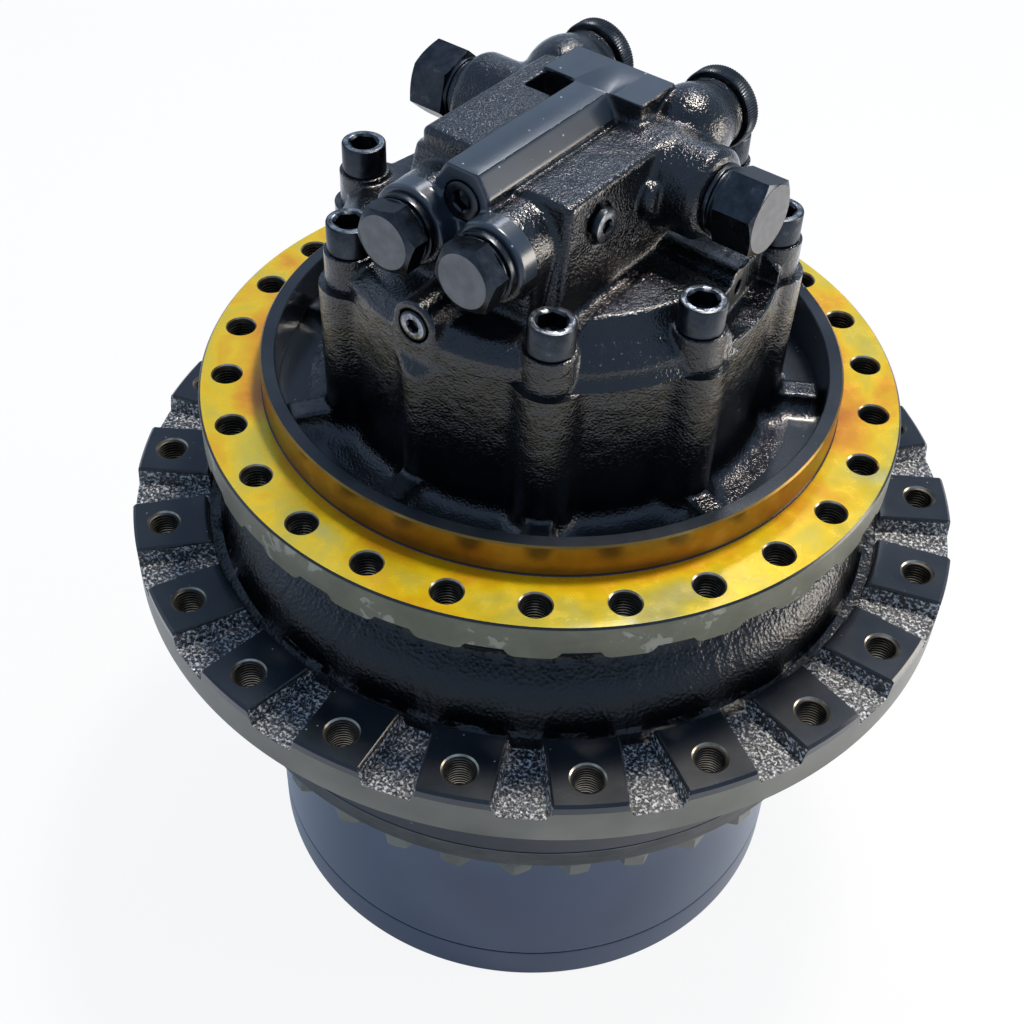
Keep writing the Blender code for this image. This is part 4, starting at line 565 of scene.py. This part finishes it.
height = add(tree, "Math", {0: lathe, 1: 0.1, 2: streak}, operation="MULTIPLY_ADD")
relief = add(tree, "Bump", {"Height": height, "Distance": 0.0001})
surface = add(tree, "BsdfPrincipled", {
    "Base Color": shade, "Metallic": 0.3, "Roughness": gloss, "Normal": relief,
    "Coat Weight": 0.6, "Coat Roughness": 0.1})
add(tree, "OutputMaterial", {"Surface": surface})

# The same film on the pilot's upright wall, where it ran down in streaks of 40 mm and turned brown
BROWN_FILM, tree, place = start_finish("brown_rust_proof_film_on_turned_steel")
runs = add(tree, "TexNoise", {"Vector": place, "Scale": 1000 / 40, "Detail": 4.0})
shade = add(tree, "ValToRGB", {"Fac": runs}, stops=[(0.3, "#7a5a24"), (0.55, "#9c7836"), (0.7, "#b89a58")])
surface = add(tree, "BsdfPrincipled", {
    "Base Color": shade, "Metallic": 0.8, "Roughness": 0.28,
    "Normal": add(tree, "Bump", {"Height": runs, "Distance": 0.0002})})
add(tree, "OutputMaterial", {"Surface": surface})

# Olive-grey primer that flakes: islands 10 to 30 mm wide are down to paler bare steel
FLAKED_RIM, tree, place = start_finish("turned_steel_with_flaking_primer")
flake = add(tree, "TexNoise", {"Vector": place, "Scale": 1000 / 30, "Detail": 7.0, "Roughness": 0.6})
shade = add(tree, "ValToRGB", {"Fac": flake},
            stops=[(0.40, "#6a6a58"), (0.59, "#767663"), (0.61, "#999887"), (0.75, "#a2a18f")])
edge = add(tree, "MapRange", {0: flake, 1: 0.59, 2: 0.61, 3: 1.0, 4: 0.0})
surface = add(tree, "BsdfPrincipled", {
    "Base Color": shade, "Metallic": 0.45, "Roughness": 0.4,
    "Normal": add(tree, "Bump", {"Height": edge, "Distance": 0.0002})})
add(tree, "OutputMaterial", {"Surface": surface})


def rim_low(a):
    """Height of the rim's lower edge: shallow notches with sloping ends, one between each two holes."""
    pitch = 2 * np.pi / FRAME_HOLES
    mm = np.abs((a / pitch) % 1 - 0.5) * pitch * FRAME_R
    return FRAME_LOW + 5.5 * np.clip((16 - mm) / 4, 0, 1)


flange_rows = [(FLOOR_R, FRAME_LOW + 1, 0), (FLOOR_R, 448, 0), (RECESS_R, 449, 0),
               (RECESS_R, PILOT_TOP - 0.8, 0), (RECESS_R + 0.8, PILOT_TOP, 0), (PILOT_R - 1.2, PILOT_TOP, 2),
               (PILOT_R, PILOT_TOP - 1.2, 2),
               (PILOT_R, FRAME_FACE + 1.5, 0), (PILOT_R + 0.2, FRAME_FACE + 0.4, 0),
               (PILOT_R + 0.8, FRAME_FACE, 1), (FRAME_R - 1.6, FRAME_FACE, 0),
               (FRAME_R - 0.3, FRAME_FACE - 1.2, 3), (FRAME_R, FRAME_FACE - 1.8, 3),
               (FRAME_R, FRAME_FACE - 9, 3), (FRAME_R - 0.2, FRAME_FACE - 9.6, 3),
               (FRAME_R - 0.2, lambda a: rim_low(a) + 0.8, 3), (FRAME_R - 1, rim_low, 3),
               (FRAME_R - 9, rim_low, 0), (FRAME_R - 10, FRAME_LOW, 0), (201, FRAME_LOW, 0)]
flange = build("frame_flange_ring", turned(flange_rows, 520),
               [PAD_BLACK, YELLOW_FILM, BROWN_FILM, FLAKED_RIM], "fixed_side", ["spindle_casing"])
cut_away(flange, ring_of(tapped_hole(10.4, FRAME_LOW - 2, FRAME_FACE, 11.3), FRAME_HOLES_R, FRAME_HOLES),
         [THREAD_STEEL])
build("frame_hole_threads",
      ring_of(thread(9.0, 10.3, 10.9, FRAME_LOW, FRAME_FACE - 1), FRAME_HOLES_R, FRAME_HOLES),
      [THREAD_STEEL, SHADED_ROOT], "fixed_side")

# Motor casing
# The upright part of the same casting, around the brake and the motor: a round wall with a column for each
# cover screw, a wide fillet at its foot, and square feet on the recess floor. Sand cast, then painted.
SCREW_ANGLES = (-163.2, -124.2, -55.8, -16.8, 31.5, 72.0, 108.0, 148.5)
RECESS_Z, CASING_TOP, SCREW_CIRCLE, BLIND_ANGLE, BLIND_Y = 452.0, 564.95, 142, -90.0, -139
SCREW_PLACES = [on_circle(SCREW_CIRCLE, a) for a in SCREW_ANGLES]


def meet(a, b, ease):
    """Distance to what lies in both bodies, with the edge between them rounded."""
    near = np.maximum(ease - np.abs(a - b), 0) / ease
    return np.maximum(a, b) + near * near * ease / 4


def fuse(a, b, fillet):
    """Distance to two bodies cast together, with a fillet between them."""
    near = np.maximum(fillet - np.abs(a - b), 0) / fillet
    return np.minimum(a, b) - near * near * fillet / 4


def brick(x, y, z, low, high, ease):
    """Distance to a box between two corners, with its edges rounded."""
    sides = [np.abs(v - (a + b) / 2) - (b - a) / 2 + ease for v, a, b in zip((x, y, z), low, high)]
    outside = np.sqrt(sum(np.maximum(s, 0) ** 2 for s in sides))
    return outside + np.minimum(np.maximum(np.maximum(sides[0], sides[1]), sides[2]), 0) - ease


def skin(distance, low, high, cell):
    """The closed surface where a distance is zero, with one point in each cell of a grid that it crosses."""
    axes = [np.arange(a - 1.5 * cell, b + 2.5 * cell, cell, dtype=np.float32) for a, b in zip(low, high)]
    field = distance(axes[0][:, None, None], axes[1][None, :, None], axes[2][None, None, :])
    field = field.astype(np.float32)
    inside = field < 0
    corners = [(i, j, k) for i in (0, 1) for j in (0, 1) for k in (0, 1)]
    size = [n - 1 for n in field.shape]
    filled = sum(inside[i:size[0] + i, j:size[1] + j, k:size[2] + k].astype(np.uint8) for i, j, k in corners)
    crossed = (filled > 0) & (filled < 8)
    cells = np.argwhere(crossed)
    number = np.full(crossed.shape, -1, np.int64)
    number[crossed] = np.arange(len(cells))
    value = {c: field[cells[:, 0] + c[0], cells[:, 1] + c[1], cells[:, 2] + c[2]] for c in corners}
    total, count = np.zeros((len(cells), 3)), np.zeros(len(cells))
    for c in corners:
        for axis in range(3):
            if c[axis] == 0:
                d = tuple(1 if k == axis else c[k] for k in range(3))
                hit = (value[c] < 0) != (value[d] < 0)
                share = value[c] / np.where(hit, value[c] - value[d], 1)
                spot = np.tile(np.array(c, float), (len(cells), 1))
                spot[:, axis] = share
                total[hit] += spot[hit]
                count[hit] += 1
    points = np.stack([a[0] for a in axes]) + (cells + total / count[:, None]) * cell
    for _ in range(2):
        x, y, z = points.T
        here = distance(x, y, z)
        h = 0.2 * cell
        slope = np.stack([distance(x + h, y, z) - here, distance(x, y + h, z) - here,
                          distance(x, y, z + h) - here], 1) / h
        step = here[:, None] * slope / np.maximum((slope ** 2).sum(1), 0.3)[:, None]
        points -= np.clip(step, -0.4 * cell, 0.4 * cell)
    faces = []
    for axis in range(3):
        u, v = (axis + 1) % 3, (axis + 2) % 3
        first = np.take(inside, np.arange(field.shape[axis] - 1), axis)
        second = np.take(inside, np.arange(1, field.shape[axis]), axis)
        where = np.argwhere(first != second)
        at_u, at_v = where[:, u], where[:, v]
        where = where[(at_u > 0) & (at_v > 0) & (at_u < size[u]) & (at_v < size[v])]
        outward = first[tuple(where.T)]
        back_u, back_v = where.copy(), where.copy()
        back_u[:, u] -= 1
        back_v[:, v] -= 1
        both = back_u.copy()
        both[:, v] -= 1
        quads = np.stack([number[tuple(w.T)] for w in (where, back_u, both, back_v)], 1)
        faces.append(np.where(outward[:, None], quads, quads[:, ::-1]))
    return points, np.concatenate(faces)


def casting(name, distance, low, high, cell, cuts, finishes, choose, body, replaces=(), sharp=38):
    """A cast piece from its distance function, faced off by flat cuts, each a place in mm and the way it
    faces. choose gives a finish number from faces' centres and normals."""
    points, faces = skin(distance, low, high, cell * (1.0))
    mesh = bpy.data.meshes.new(name)
    mesh.vertices.add(len(points))
    mesh.vertices.foreach_set("co", (points * 0.001).astype(np.float32).ravel())
    mesh.loops.add(len(faces) * 4)
    mesh.loops.foreach_set("vertex_index", faces.astype(np.int32).ravel())
    mesh.polygons.add(len(faces))
    mesh.polygons.foreach_set("loop_start", np.arange(len(faces), dtype=np.int32) * 4)
    mesh.update(calc_edges=True)
    mesh.validate()
    form = bmesh.new()
    form.from_mesh(mesh)
    for spot, facing in cuts:
        cut = bmesh.ops.bisect_plane(form, geom=form.verts[:] + form.edges[:] + form.faces[:], dist=1e-6,
                                     plane_co=Vector(spot) * 0.001, plane_no=facing, clear_outer=True)
        rims = [edge for edge in cut["geom_cut"] if isinstance(edge, bmesh.types.BMEdge)]
        bmesh.ops.triangle_fill(form, use_beauty=True, use_dissolve=False, edges=rims, normal=facing)
    bmesh.ops.recalc_face_normals(form, faces=form.faces)
    form.to_mesh(mesh)
    form.free()
    centres, normals = np.zeros(len(mesh.polygons) * 3), np.zeros(len(mesh.polygons) * 3)
    mesh.polygons.foreach_get("center", centres)
    mesh.polygons.foreach_get("normal", normals)
    chosen = choose(centres.reshape(-1, 3).T * 1000, normals.reshape(-1, 3).T)
    mesh.polygons.foreach_set("material_index", chosen.astype(np.int32))
    return dress(name, mesh, finishes, body, replaces, sharp)


def casing_casting(x, y, z):
    """Distance in mm to the motor casing as it is cast."""
    r = np.hypot(x, y)
    form = r - 146 - (z - RECESS_Z) * 0.017
    for px, py in SCREW_PLACES:
        form = fuse(form, np.hypot(x - px, y - py) - 21.6 + (CASING_TOP - z) * 0.01, 6)
    blind = meet(np.hypot(x, y - BLIND_Y) - 15, (z - 560) * 0.9 - (y - BLIND_Y) * 0.4, 4)
    form = fuse(form, blind, 6)
    for degrees in SCREW_ANGLES + (BLIND_ANGLE,):
        c, s = on_circle(1, degrees)
        form = fuse(form, brick(x * c + y * s, y * c - x * s, z, (120, -8.3, 430), (190, 8.3, 466), 1.6), 5)
    form = fuse(form, z - RECESS_Z, 17)
    return meet(meet(form, r - 195.5, 0.5), 118 - r, 0.5)


def casing_finish(centre, normal):
    """The recess floor is milled round the casing's foot, and the rest is as cast."""
    return (normal[2] > 0.95) & (centre[2] < RECESS_Z + 1) & (np.hypot(centre[0], centre[1]) > 172)


casting("motor_casing_casting", casing_casting, (-196, -196, 446), (196, 196, 565), 1.5,
        [((0, 0, CASING_TOP), (0, 0, 1)), ((0, 0, 447), (0, 0, -1))], [CAST_BLACK, PAD_BLACK],
        casing_finish, "fixed_side")
spindle_rows = [(130, 447), (189, 447), (190, 430), (190, 425), (166, 425), (166, 399), (150, 399),
                (150, 257), (146, 255), (146, 246), (100, 246), (100, 300), (30.5, 300), (30.5, 329),
                (46, 329), (46, 355), (106, 355), (106, 447)]
build("spindle_tube", turned(eased(spindle_rows, 1.2), 128), [PRIMED], "fixed_side")

# Motor cover with the valve block
# The second big casting: a round cover with a boss for each screw, and the valve block on top of it, with
# round bosses for its valves and ports. Sand cast and painted, with the long top land machined flat.
LAND_Z, ARM_Y, ARM_Z, LUG_Z, BAR_PLUG_Z = 674.0, 23, 579, 586, 652
RELIEF_X, RELIEF_Z, SPOOL_Y, SPOOL_Z = 30.5, 628, 30, 631
PORT_X, PORT_Z, PORT_CAP_Y, SIDE_PLUG_Y, SIDE_PLUG_Z = 49.5, 644.5, 97.0, -50, 637


def rod(along, off_1, off_2, low, high, radius, ease):
    """Distance to a round bar along one axis, with its ends rounded."""
    side = np.hypot(off_1, off_2) - radius + ease
    end = np.abs(along - (low + high) / 2) - (high - low) / 2 + ease
    return np.hypot(np.maximum(side, 0), np.maximum(end, 0)) + np.minimum(np.maximum(side, end), 0) - ease


def cover_casting(x, y, z):
    """Distance in mm to the cover and its valve block, with the holes for valves and plugs."""
    r = np.hypot(x, y)
    ax = np.abs(x)
    crown = meet(r - 147.8, (z - 577 + (r - 147.8) * 0.82) / 1.29, 1.8)
    crown = meet(crown, z - 586.5 + (r - 137) * 0.03, 1.8)
    slope = (z - 600.5 + (r - 125) * 1.25) / 1.6
    sides = meet(87 - x - (600 - z) * 0.25, y + 25 - (600 - z) * 0.3, 2.5)
    form = fuse(crown, meet(meet(z - 600.5, slope, 1.8), sides, 1.8), 3)
    body = meet(x - 62 - (659 - z) * 0.085, -x - 58 - (659 - z) * 0.11, 5)
    body = meet(body, meet(-y - 79.5 - (659 - z) * 0.22, y - 63 - (659 - z) * 0.2, 5), 6)
    body = meet(body, z - 659.5, 4)
    left = brick(x, y, z, (-53, -79, 600), (-6, 48, 671), 4.5)
    body = fuse(body, left, 4)
    groove = rod(y, x - 22.4, z - 660.5, -95, 24, 3.6, 1)
    body = meet(body, -groove, 2.5)
    bar = meet(((ax - 12) * 15 + (z - LAND_Z) * 9) / 17.5, ((ax - 21) * 29 - (z - 659) * 4) / 29.3, 1.5)
    bar = meet(bar, meet(-104.3 - y, y - 60, 1.0), 1.5)
    bar = meet(bar, 622 - z, 1)
    body = fuse(body, bar, 2.0)
    body = fuse(body, brick(x, y, z, (-38.5, 25.3, 630), (38.5, 63.2, 690), 1.5), 3.5)
    relief = rod(y, ax - RELIEF_X, z - RELIEF_Z, -117.8, -30, 27, 2.5)
    relief = fuse(relief, brick(ax, y, z, (8, -106, 560), (56, -30, RELIEF_Z), 7), 3)
    body = fuse(body, relief, 4)
    port = rod(y, ax - PORT_X, z - PORT_Z, 55, PORT_CAP_Y - 0.2, 23.6, 1.5)
    port = fuse(port, np.sqrt((ax - PORT_X) ** 2 + ((y - 68) * 0.9) ** 2 + (z - 645) ** 2) - 28.3, 4)
    body = fuse(body, port, 3)
    body = fuse(body, rod(ax, y - SPOOL_Y, z - SPOOL_Z, 30, 98.6, 30.6, 8), 6)
    body = fuse(body, meet(rod(x, y - 1, z - SPOOL_Z, 40, 74, 12.5, 6), -x, 1), 2.5)
    form = fuse(form, body, 7)
    for px, py in SCREW_PLACES:
        form = fuse(form, rod(z, x - px, y - py, 540, 590.7, 17.2, 0.9), 2.5)
    form = fuse(form, rod(ax, y - ARM_Y, z - ARM_Z, 40, 124.7, 13.2, 1.2), 5)
    out, along = ax * 0.992 + y * 0.128, y * 0.992 - ax * 0.128
    form = fuse(form, brick(out, along, z, (112, 14, 560), (127, 60, 590), 1.5), 3)
    form = meet(form, -brick(out, along, z, (127.2, -36, 566.5), (175, 40, 640), 2), 1.5)
    lug = brick(x, y, z, (-16.5, -149.3, 540), (16.5, -100, 585), 2.5)
    lug = fuse(rod(y, x, z - LUG_Z, -149.3, -100, 16.5, 2), lug, 2)
    form = fuse(form, lug, 6)
    form = meet(form, z - LAND_Z - 0.3, 1.3)
    form = meet(form, -brick(x, y, z, (-37, 3.5, 655), (-14.5, 25.6, 690), 2), 1.5)
    form = meet(form, -rod(ax, y - ARM_Y, z - ARM_Z, 100, 140, 4.8, 0.5), 1.5)
    form = meet(form, -rod(ax, y - SIDE_PLUG_Y, z - SIDE_PLUG_Z, 60.5, 90, 13.4, 0.5), 1)
    form = meet(form, -rod(y, ax - RELIEF_X, z - RELIEF_Z, -140, -40, 16.8, 0.5), 1)
    form = meet(form, -rod(y, ax - PORT_X, z - PORT_Z, 70, 120, 15.8, 0.5), 1)
    form = meet(form, -rod(x, y - SPOOL_Y, z - SPOOL_Z, -140, 140, 16.8, 0.5), 1)
    form = meet(form, -rod(y, x, z - LUG_Z, -170, -135, 11.6, 0.5), 1)
    form = meet(form, -rod(y, x, z - BAR_PLUG_Z, -120, -90, 13.6, 0.5), 1)
    return meet(form, -rod(ax, y - SIDE_PLUG_Y, z - SIDE_PLUG_Z, 40, 90, 7.2, 0.5), 0.5)


def cover_finish(centre, normal):
    """The top land, its right slope, the bar's end and the arms' ends are machined."""
    x, y, z = centre
    chosen = np.zeros(x.shape)
    chosen[(z > LAND_Z - 0.4) & (normal[2] > 0.9)] = 1
    slope = (x > 8) & (x < 24) & (y < 28) & (z > 660) & (normal[2] > 0.3) & (normal[0] > 0.5)
    chosen[(z < LAND_Z - 0.4) & slope] = 1
    chosen[(y < -103.8) & (z > 625)] = 1
    chosen[(np.abs(x) > 123.8) & (np.abs(normal[0]) > 0.9) & (y > 8) & (y < 38) & (z < 594)] = 2
    return chosen


# Satin black enamel over a milled face: smooth, with dust of 1 to 2 mm lying on it. Its blue-grey base colour
# is partly painted sky reflection, lighter than the enamel's own black
MILLED_LAND, tree, place = start_finish("satin_black_enamel_on_milled_iron")
cloud = add(tree, "TexNoise", {"Vector": place, "Scale": 1000 / 50, "Detail": 4.0})
shade = add(tree, "ValToRGB", {"Fac": cloud}, stops=[(0.3, "#27303a"), (0.7, "#323d49")])
speck = add(tree, "TexVoronoi", {"Vector": place, "Scale": 1000 / 10})
dust = add(tree, "MapRange", {0: speck, 1: 0.085, 2: 0.05, 3: 0.0, 4: 1.0})
shade = add(tree, "Mix", {0: dust, 6: shade.outputs[0], 7: colour("#b9bfc4")}, data_type="RGBA")
grain = add(tree, "TexNoise", {"Vector": place, "Scale": 1000 / 1.6})
relief = add(tree, "Bump", {"Height": grain, "Distance": 0.00001})
surface = add(tree, "BsdfPrincipled", {
    "Base Color": shade.outputs[2], "Roughness": 0.3, "Normal": relief, "Coat Weight": 0.7,
    "Coat Roughness": 0.2})
add(tree, "OutputMaterial", {"Surface": surface})

# A spot-faced end: flat iron, dulled and browned by oil, patchy over about 12 mm
SPOT_FACE = mottled("spot_faced_iron_with_oil", 12, [(0.35, "#3a3936"), (0.65, "#55534d")],
                    metallic=0.6, roughness=0.4)

casting("valve_block_casting", cover_casting, (-155, -151, 565), (155, 155, 674), 1.15,
        [((0, 0, LAND_Z), (0, 0, 1)), ((0, 0, CASING_TOP + 0.1), (0, 0, -1))],
        [CAST_BLACK, MILLED_LAND, SPOT_FACE], cover_finish, "fixed_side", ["motor_cover"])

# Cover screws
# Eight socket head screws of black oxide steel pull the cover down on the casing. Spanners have rubbed the
# oxide off round the mouths of their sockets.
WORN_EDGE = mottled("oxide_worn_to_bright_steel", 6, [(0.4, "#5a5d60"), (0.6, "#b5b8bb")],
                    metallic=0.95, roughness=0.25, detail=5.0, blend=0.7)
SCREW_HEAD_TOP = 611.0
for k, (x, y) in enumerate(SCREW_PLACES):
    head = moved(socket_head(15, 19.7, 17, 11), Matrix.Rotation(math.radians(17 * k), 4, "Z"))
    shank = turned([(0, -19.6), (10, -19.6), (10, -57), (0, -57)], 32)
    build(f"cover_screw_{k + 1}_turned",
          moved(stack(head, shank), Matrix.Translation((x, y, SCREW_HEAD_TOP))),
          [BLACK_OXIDE, WORN_EDGE], "fixed_side", [f"cover_screw_{k + 1}"])

# Relief valves, spool caps, port caps and plugs
# Steel parts that screw into the block. Hexagons are black oxide with the lathe-faced end left grey, port
# caps are knurled, and small plugs have a flange and a hexagon socket.
RELIEF_FACE, SPOOL_FACE, LUG_PLUG_FACE, BAR_PLUG_FACE, KNURLS = 141, 136, 150.2, 104.6, 90


def knurl(depth):
    """Radius of the port caps' knurled band, cut down by a depth."""
    return lambda a: 27.3 - 0.55 * np.abs(((a * KNURLS / (2 * np.pi)) % 1) - 0.5) * 2 - depth


# The lathe-faced ends: mid grey and dull, mottled over 9 mm where thin enamel lies on the turned steel
FACED_END = mottled("lathe_faced_steel_under_thin_enamel", 9, [(0.3, "#6f6f6e"), (0.7, "#848382")],
                    metallic=0.4, roughness=0.5, detail=5.0, grain=(1.2, 0.00003))
relief_collar = turned(eased([(0, -14.8), (21.5, -14.8), (21.5, -16.4), (20.4, -16.6), (20.4, -17.4),
                              (23.2, -17.6), (23.2, -22.7), (16.4, -22.7), (16.4, -60), (0, -60)], 0.4), 96)
spool_collar = turned(eased([(0, -27.8), (22.5, -27.8), (22.5, -31), (21, -31.5), (21, -33.5), (23, -34),
                             (23, -37), (16.4, -37), (16.4, -60), (0, -60)], 0.5), 96)
port_cap = turned([(0, 13), (20, 13), (20, 12), (22, 12), (22, 13), (25.6, 13), (knurl(0.6), 12.4),
                   (knurl(0), 11.4), (knurl(0), 1.6), (knurl(0.8), 0.5), (24, 0.35), (15.2, 0.35),
                   (15.2, -20), (0, -20)], 540)
side_plug = stack(socket_head(11.4, 4, 8, 3.4, 0.7),
                  turned([(0, -3.9), (6.5, -3.9), (6.5, -14), (0, -14)], 32))
for name, side, plug_face in (("left", -1, 65.8), ("right", 1, 69.2)):
    head = moved(hexagon_head(41, 15, 17.9, 0.5), Matrix.Rotation(math.radians(42), 4, "Z"))
    build(f"relief_valve_{name}_turned",
          moved(stack(head, relief_collar), turn_to((0, -1, 0), (side * RELIEF_X, -RELIEF_FACE, RELIEF_Z))),
          [BLACK_OXIDE, FACED_END], "fixed_side", [f"relief_valve_{name}"])
    head = moved(hexagon_head(46, 28, 22.4, 0.42, back_r=25.6), Matrix.Rotation(math.radians(12), 4, "Z"))
    build(f"spool_cap_{name}_turned",
          moved(stack(head, spool_collar), turn_to((side, 0, 0), (side * SPOOL_FACE, SPOOL_Y, SPOOL_Z))),
          [BLACK_OXIDE, FACED_END], "fixed_side", [f"spool_cap_{name}"])
    build(f"port_cap_{name}_knurled",
          moved(port_cap, turn_to((0, 1, 0), (side * PORT_X, PORT_CAP_Y, PORT_Z))),
          [BLACK_OXIDE], "fixed_side", [f"port_cap_{name}"])
    build(f"side_plug_{name}_turned",
          moved(side_plug, turn_to((side, 0, 0), (side * plug_face, SIDE_PLUG_Y, SIDE_PLUG_Z))),
          [BLACK_OXIDE, WORN_EDGE], "fixed_side", [f"side_plug_{name}"])
build("front_lug_plug_turned",
      moved(socket_head(10.4, 12, 8, 5, 1.6), turn_to((0, -1, 0), (0, -LUG_PLUG_FACE, LUG_Z))),
      [BLACK_OXIDE, WORN_EDGE], "fixed_side", ["front_lug_plug"])
build("bar_end_plug_turned",
      moved(socket_head(12.8, 12, 12, 6, 1.0), turn_to((0, -1, 0), (0, -BAR_PLUG_FACE, BAR_PLUG_Z))),
      [BLACK_OXIDE, BLACK_OXIDE], "fixed_side", ["bar_end_plug"])

# Inner pieces
# Gears, bearings, brake and motor keep their CAD shapes, since the drive never opens. Gear steel is ground
# and oiled, bearing rings are polished, and the rubbing parts of the motor are leaded bronze.
GEAR_STEEL, tree, place = start_finish("ground_gear_steel_with_oil")
tint = add(tree, "TexNoise", {"Vector": place, "Scale": 1000 / 16, "Detail": 4.0})
shade = add(tree, "ValToRGB", {"Fac": tint}, stops=[(0.3, "#7d7e80"), (0.7, "#9b9c9d")])
grind = add(tree, "TexWave", {"Vector": place, "Scale": BAND / 1.0, "Distortion": 1.0})
surface = add(tree, "BsdfPrincipled", {
    "Base Color": shade, "Metallic": 1.0, "Roughness": 0.28,
    "Normal": add(tree, "Bump", {"Height": grind, "Distance": 0.00002})})
add(tree, "OutputMaterial", {"Surface": surface})
BEARING_STEEL = mottled("polished_bearing_steel", 25, [(0.3, "#a2a4a6"), (0.7, "#b4b6b8")],
                        metallic=1.0, roughness=0.16, detail=3.0)
BRONZE = mottled("turned_leaded_bronze", 14, [(0.3, "#9a7440"), (0.7, "#b89052")],
                 metallic=1.0, roughness=0.34)
for name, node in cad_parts.items():
    if not node.hide_render:
        if any(word in name for word in ("bearing", "cage")) and name != "bearing_nut":
            finish = BEARING_STEEL
        elif any(word in name for word in ("disc", "cylinder_block", "valve_plate")):
            finish = BRONZE
        elif name == "bearing_nut":
            finish = BLACK_OXIDE
        else:
            finish = GEAR_STEEL
        for slot in node.material_slots:
            slot.material = finish

# Studio
# A floor of white paper that the camera sees almost without shade, four soft lamps, and a pale sky that
# lights the drive but looks white. The camera stands where the photograph was taken from.
FLOOR_HALF = 20000
FLOOR_WHITE, tree, place = start_finish("white_studio_paper")
cloud = add(tree, "TexNoise", {"Vector": place, "Scale": 1000 / 600, "Detail": 2.0})
shade = add(tree, "ValToRGB", {"Fac": cloud}, stops=[(0.3, "#f0f0f0"), (0.7, "#f3f3f3")])
paper = add(tree, "BsdfDiffuse", {"Color": shade})
sight = add(tree, "LightPath")
mirrored = add(tree, "Math", {0: sight.outputs["Is Glossy Ray"], 1: 0.08}, operation="MULTIPLY")
share = add(tree, "Math", {0: sight.outputs["Is Camera Ray"], 1: 0.9, 2: mirrored}, operation="MULTIPLY_ADD")
white = add(tree, "Emission", {"Color": (1, 1, 1, 1), "Strength": 1.0})
add(tree, "OutputMaterial", {"Surface": add(tree, "MixShader", {0: share, 1: paper, 2: white})})
corners = [(x * FLOOR_HALF, y * FLOOR_HALF, 0) for x, y in ((-1, -1), (1, -1), (1, 1), (-1, 1))]
floor = build("studio_floor", (corners, [(0, 1, 2, 3)], [0]), [FLOOR_WHITE], None)

camera_data = bpy.data.cameras.new("photo_camera")
camera_data.lens, camera_data.sensor_width = 54.24, 36.0
camera = bpy.data.objects.new("photo_camera", camera_data)
bpy.context.collection.objects.link(camera)
right = Vector((0.78859, 0.61400, 0.03373))
down = Vector((0.44589, -0.53317, -0.71897))
ahead = Vector((-0.42346, 0.58201, -0.69422))
axes = Matrix((right, -down, -ahead)).transposed().to_4x4()
camera.matrix_world = Matrix.Translation((0.4928, -0.7161, 1.1552)) @ axes
bpy.context.scene.camera = camera

for name, place, aim, size, watts, code in (
        ("key_lamp", (0.05, 1.05, 3.45), (0, 0, 0.35), 0.6, 84.0, "#fff6ea"),
        ("back_lamp", (-1.0, 1.9, 2.9), (0, 0, 0.35), 0.5, 8.0, "#f4f6ff"),
        ("left_lamp", (-2.4, -1.2, 1.5), (0, 0, 0.35), 1.4, 3.0, "#dfe9ff"),
        ("right_lamp", (1.25, 0.85, 0.6), (0.25, 0.2, 0.0), 0.6, 10.5, "#fff4e6")):
    lamp = bpy.data.lights.new(name, "AREA")
    lamp.size, lamp.energy, lamp.color = size, watts, colour(code)[:3]
    stand = bpy.data.objects.new(name, lamp)
    axes = (Vector(aim) - Vector(place)).to_track_quat("-Z", "Y").to_matrix().to_4x4()
    stand.matrix_world = Matrix.Translation(place) @ axes
    bpy.context.collection.objects.link(stand)

world = bpy.data.worlds.new("studio_sky")
bpy.context.scene.world = world
world.use_nodes = True
tree = world.node_tree
tree.nodes.clear()
height = add(tree, "SeparateXYZ", {"Vector": add(tree, "TexCoord").outputs["Generated"]}).outputs["Z"]
sky = add(tree, "ValToRGB", {"Fac": height}, stops=[(0.0, "#98a3b0"), (0.3, "#9fb6d2"), (1.0, "#86a2cb")])
lit = add(tree, "Background", {"Color": sky, "Strength": 0.85})
white = add(tree, "Background", {"Color": (1, 1, 1, 1), "Strength": 1.0})
seen = add(tree, "LightPath").outputs["Is Camera Ray"]
add(tree, "OutputWorld", {"Surface": add(tree, "MixShader", {0: seen, 1: lit, 2: white})})
bpy.context.scene.view_settings.view_transform = "Standard"
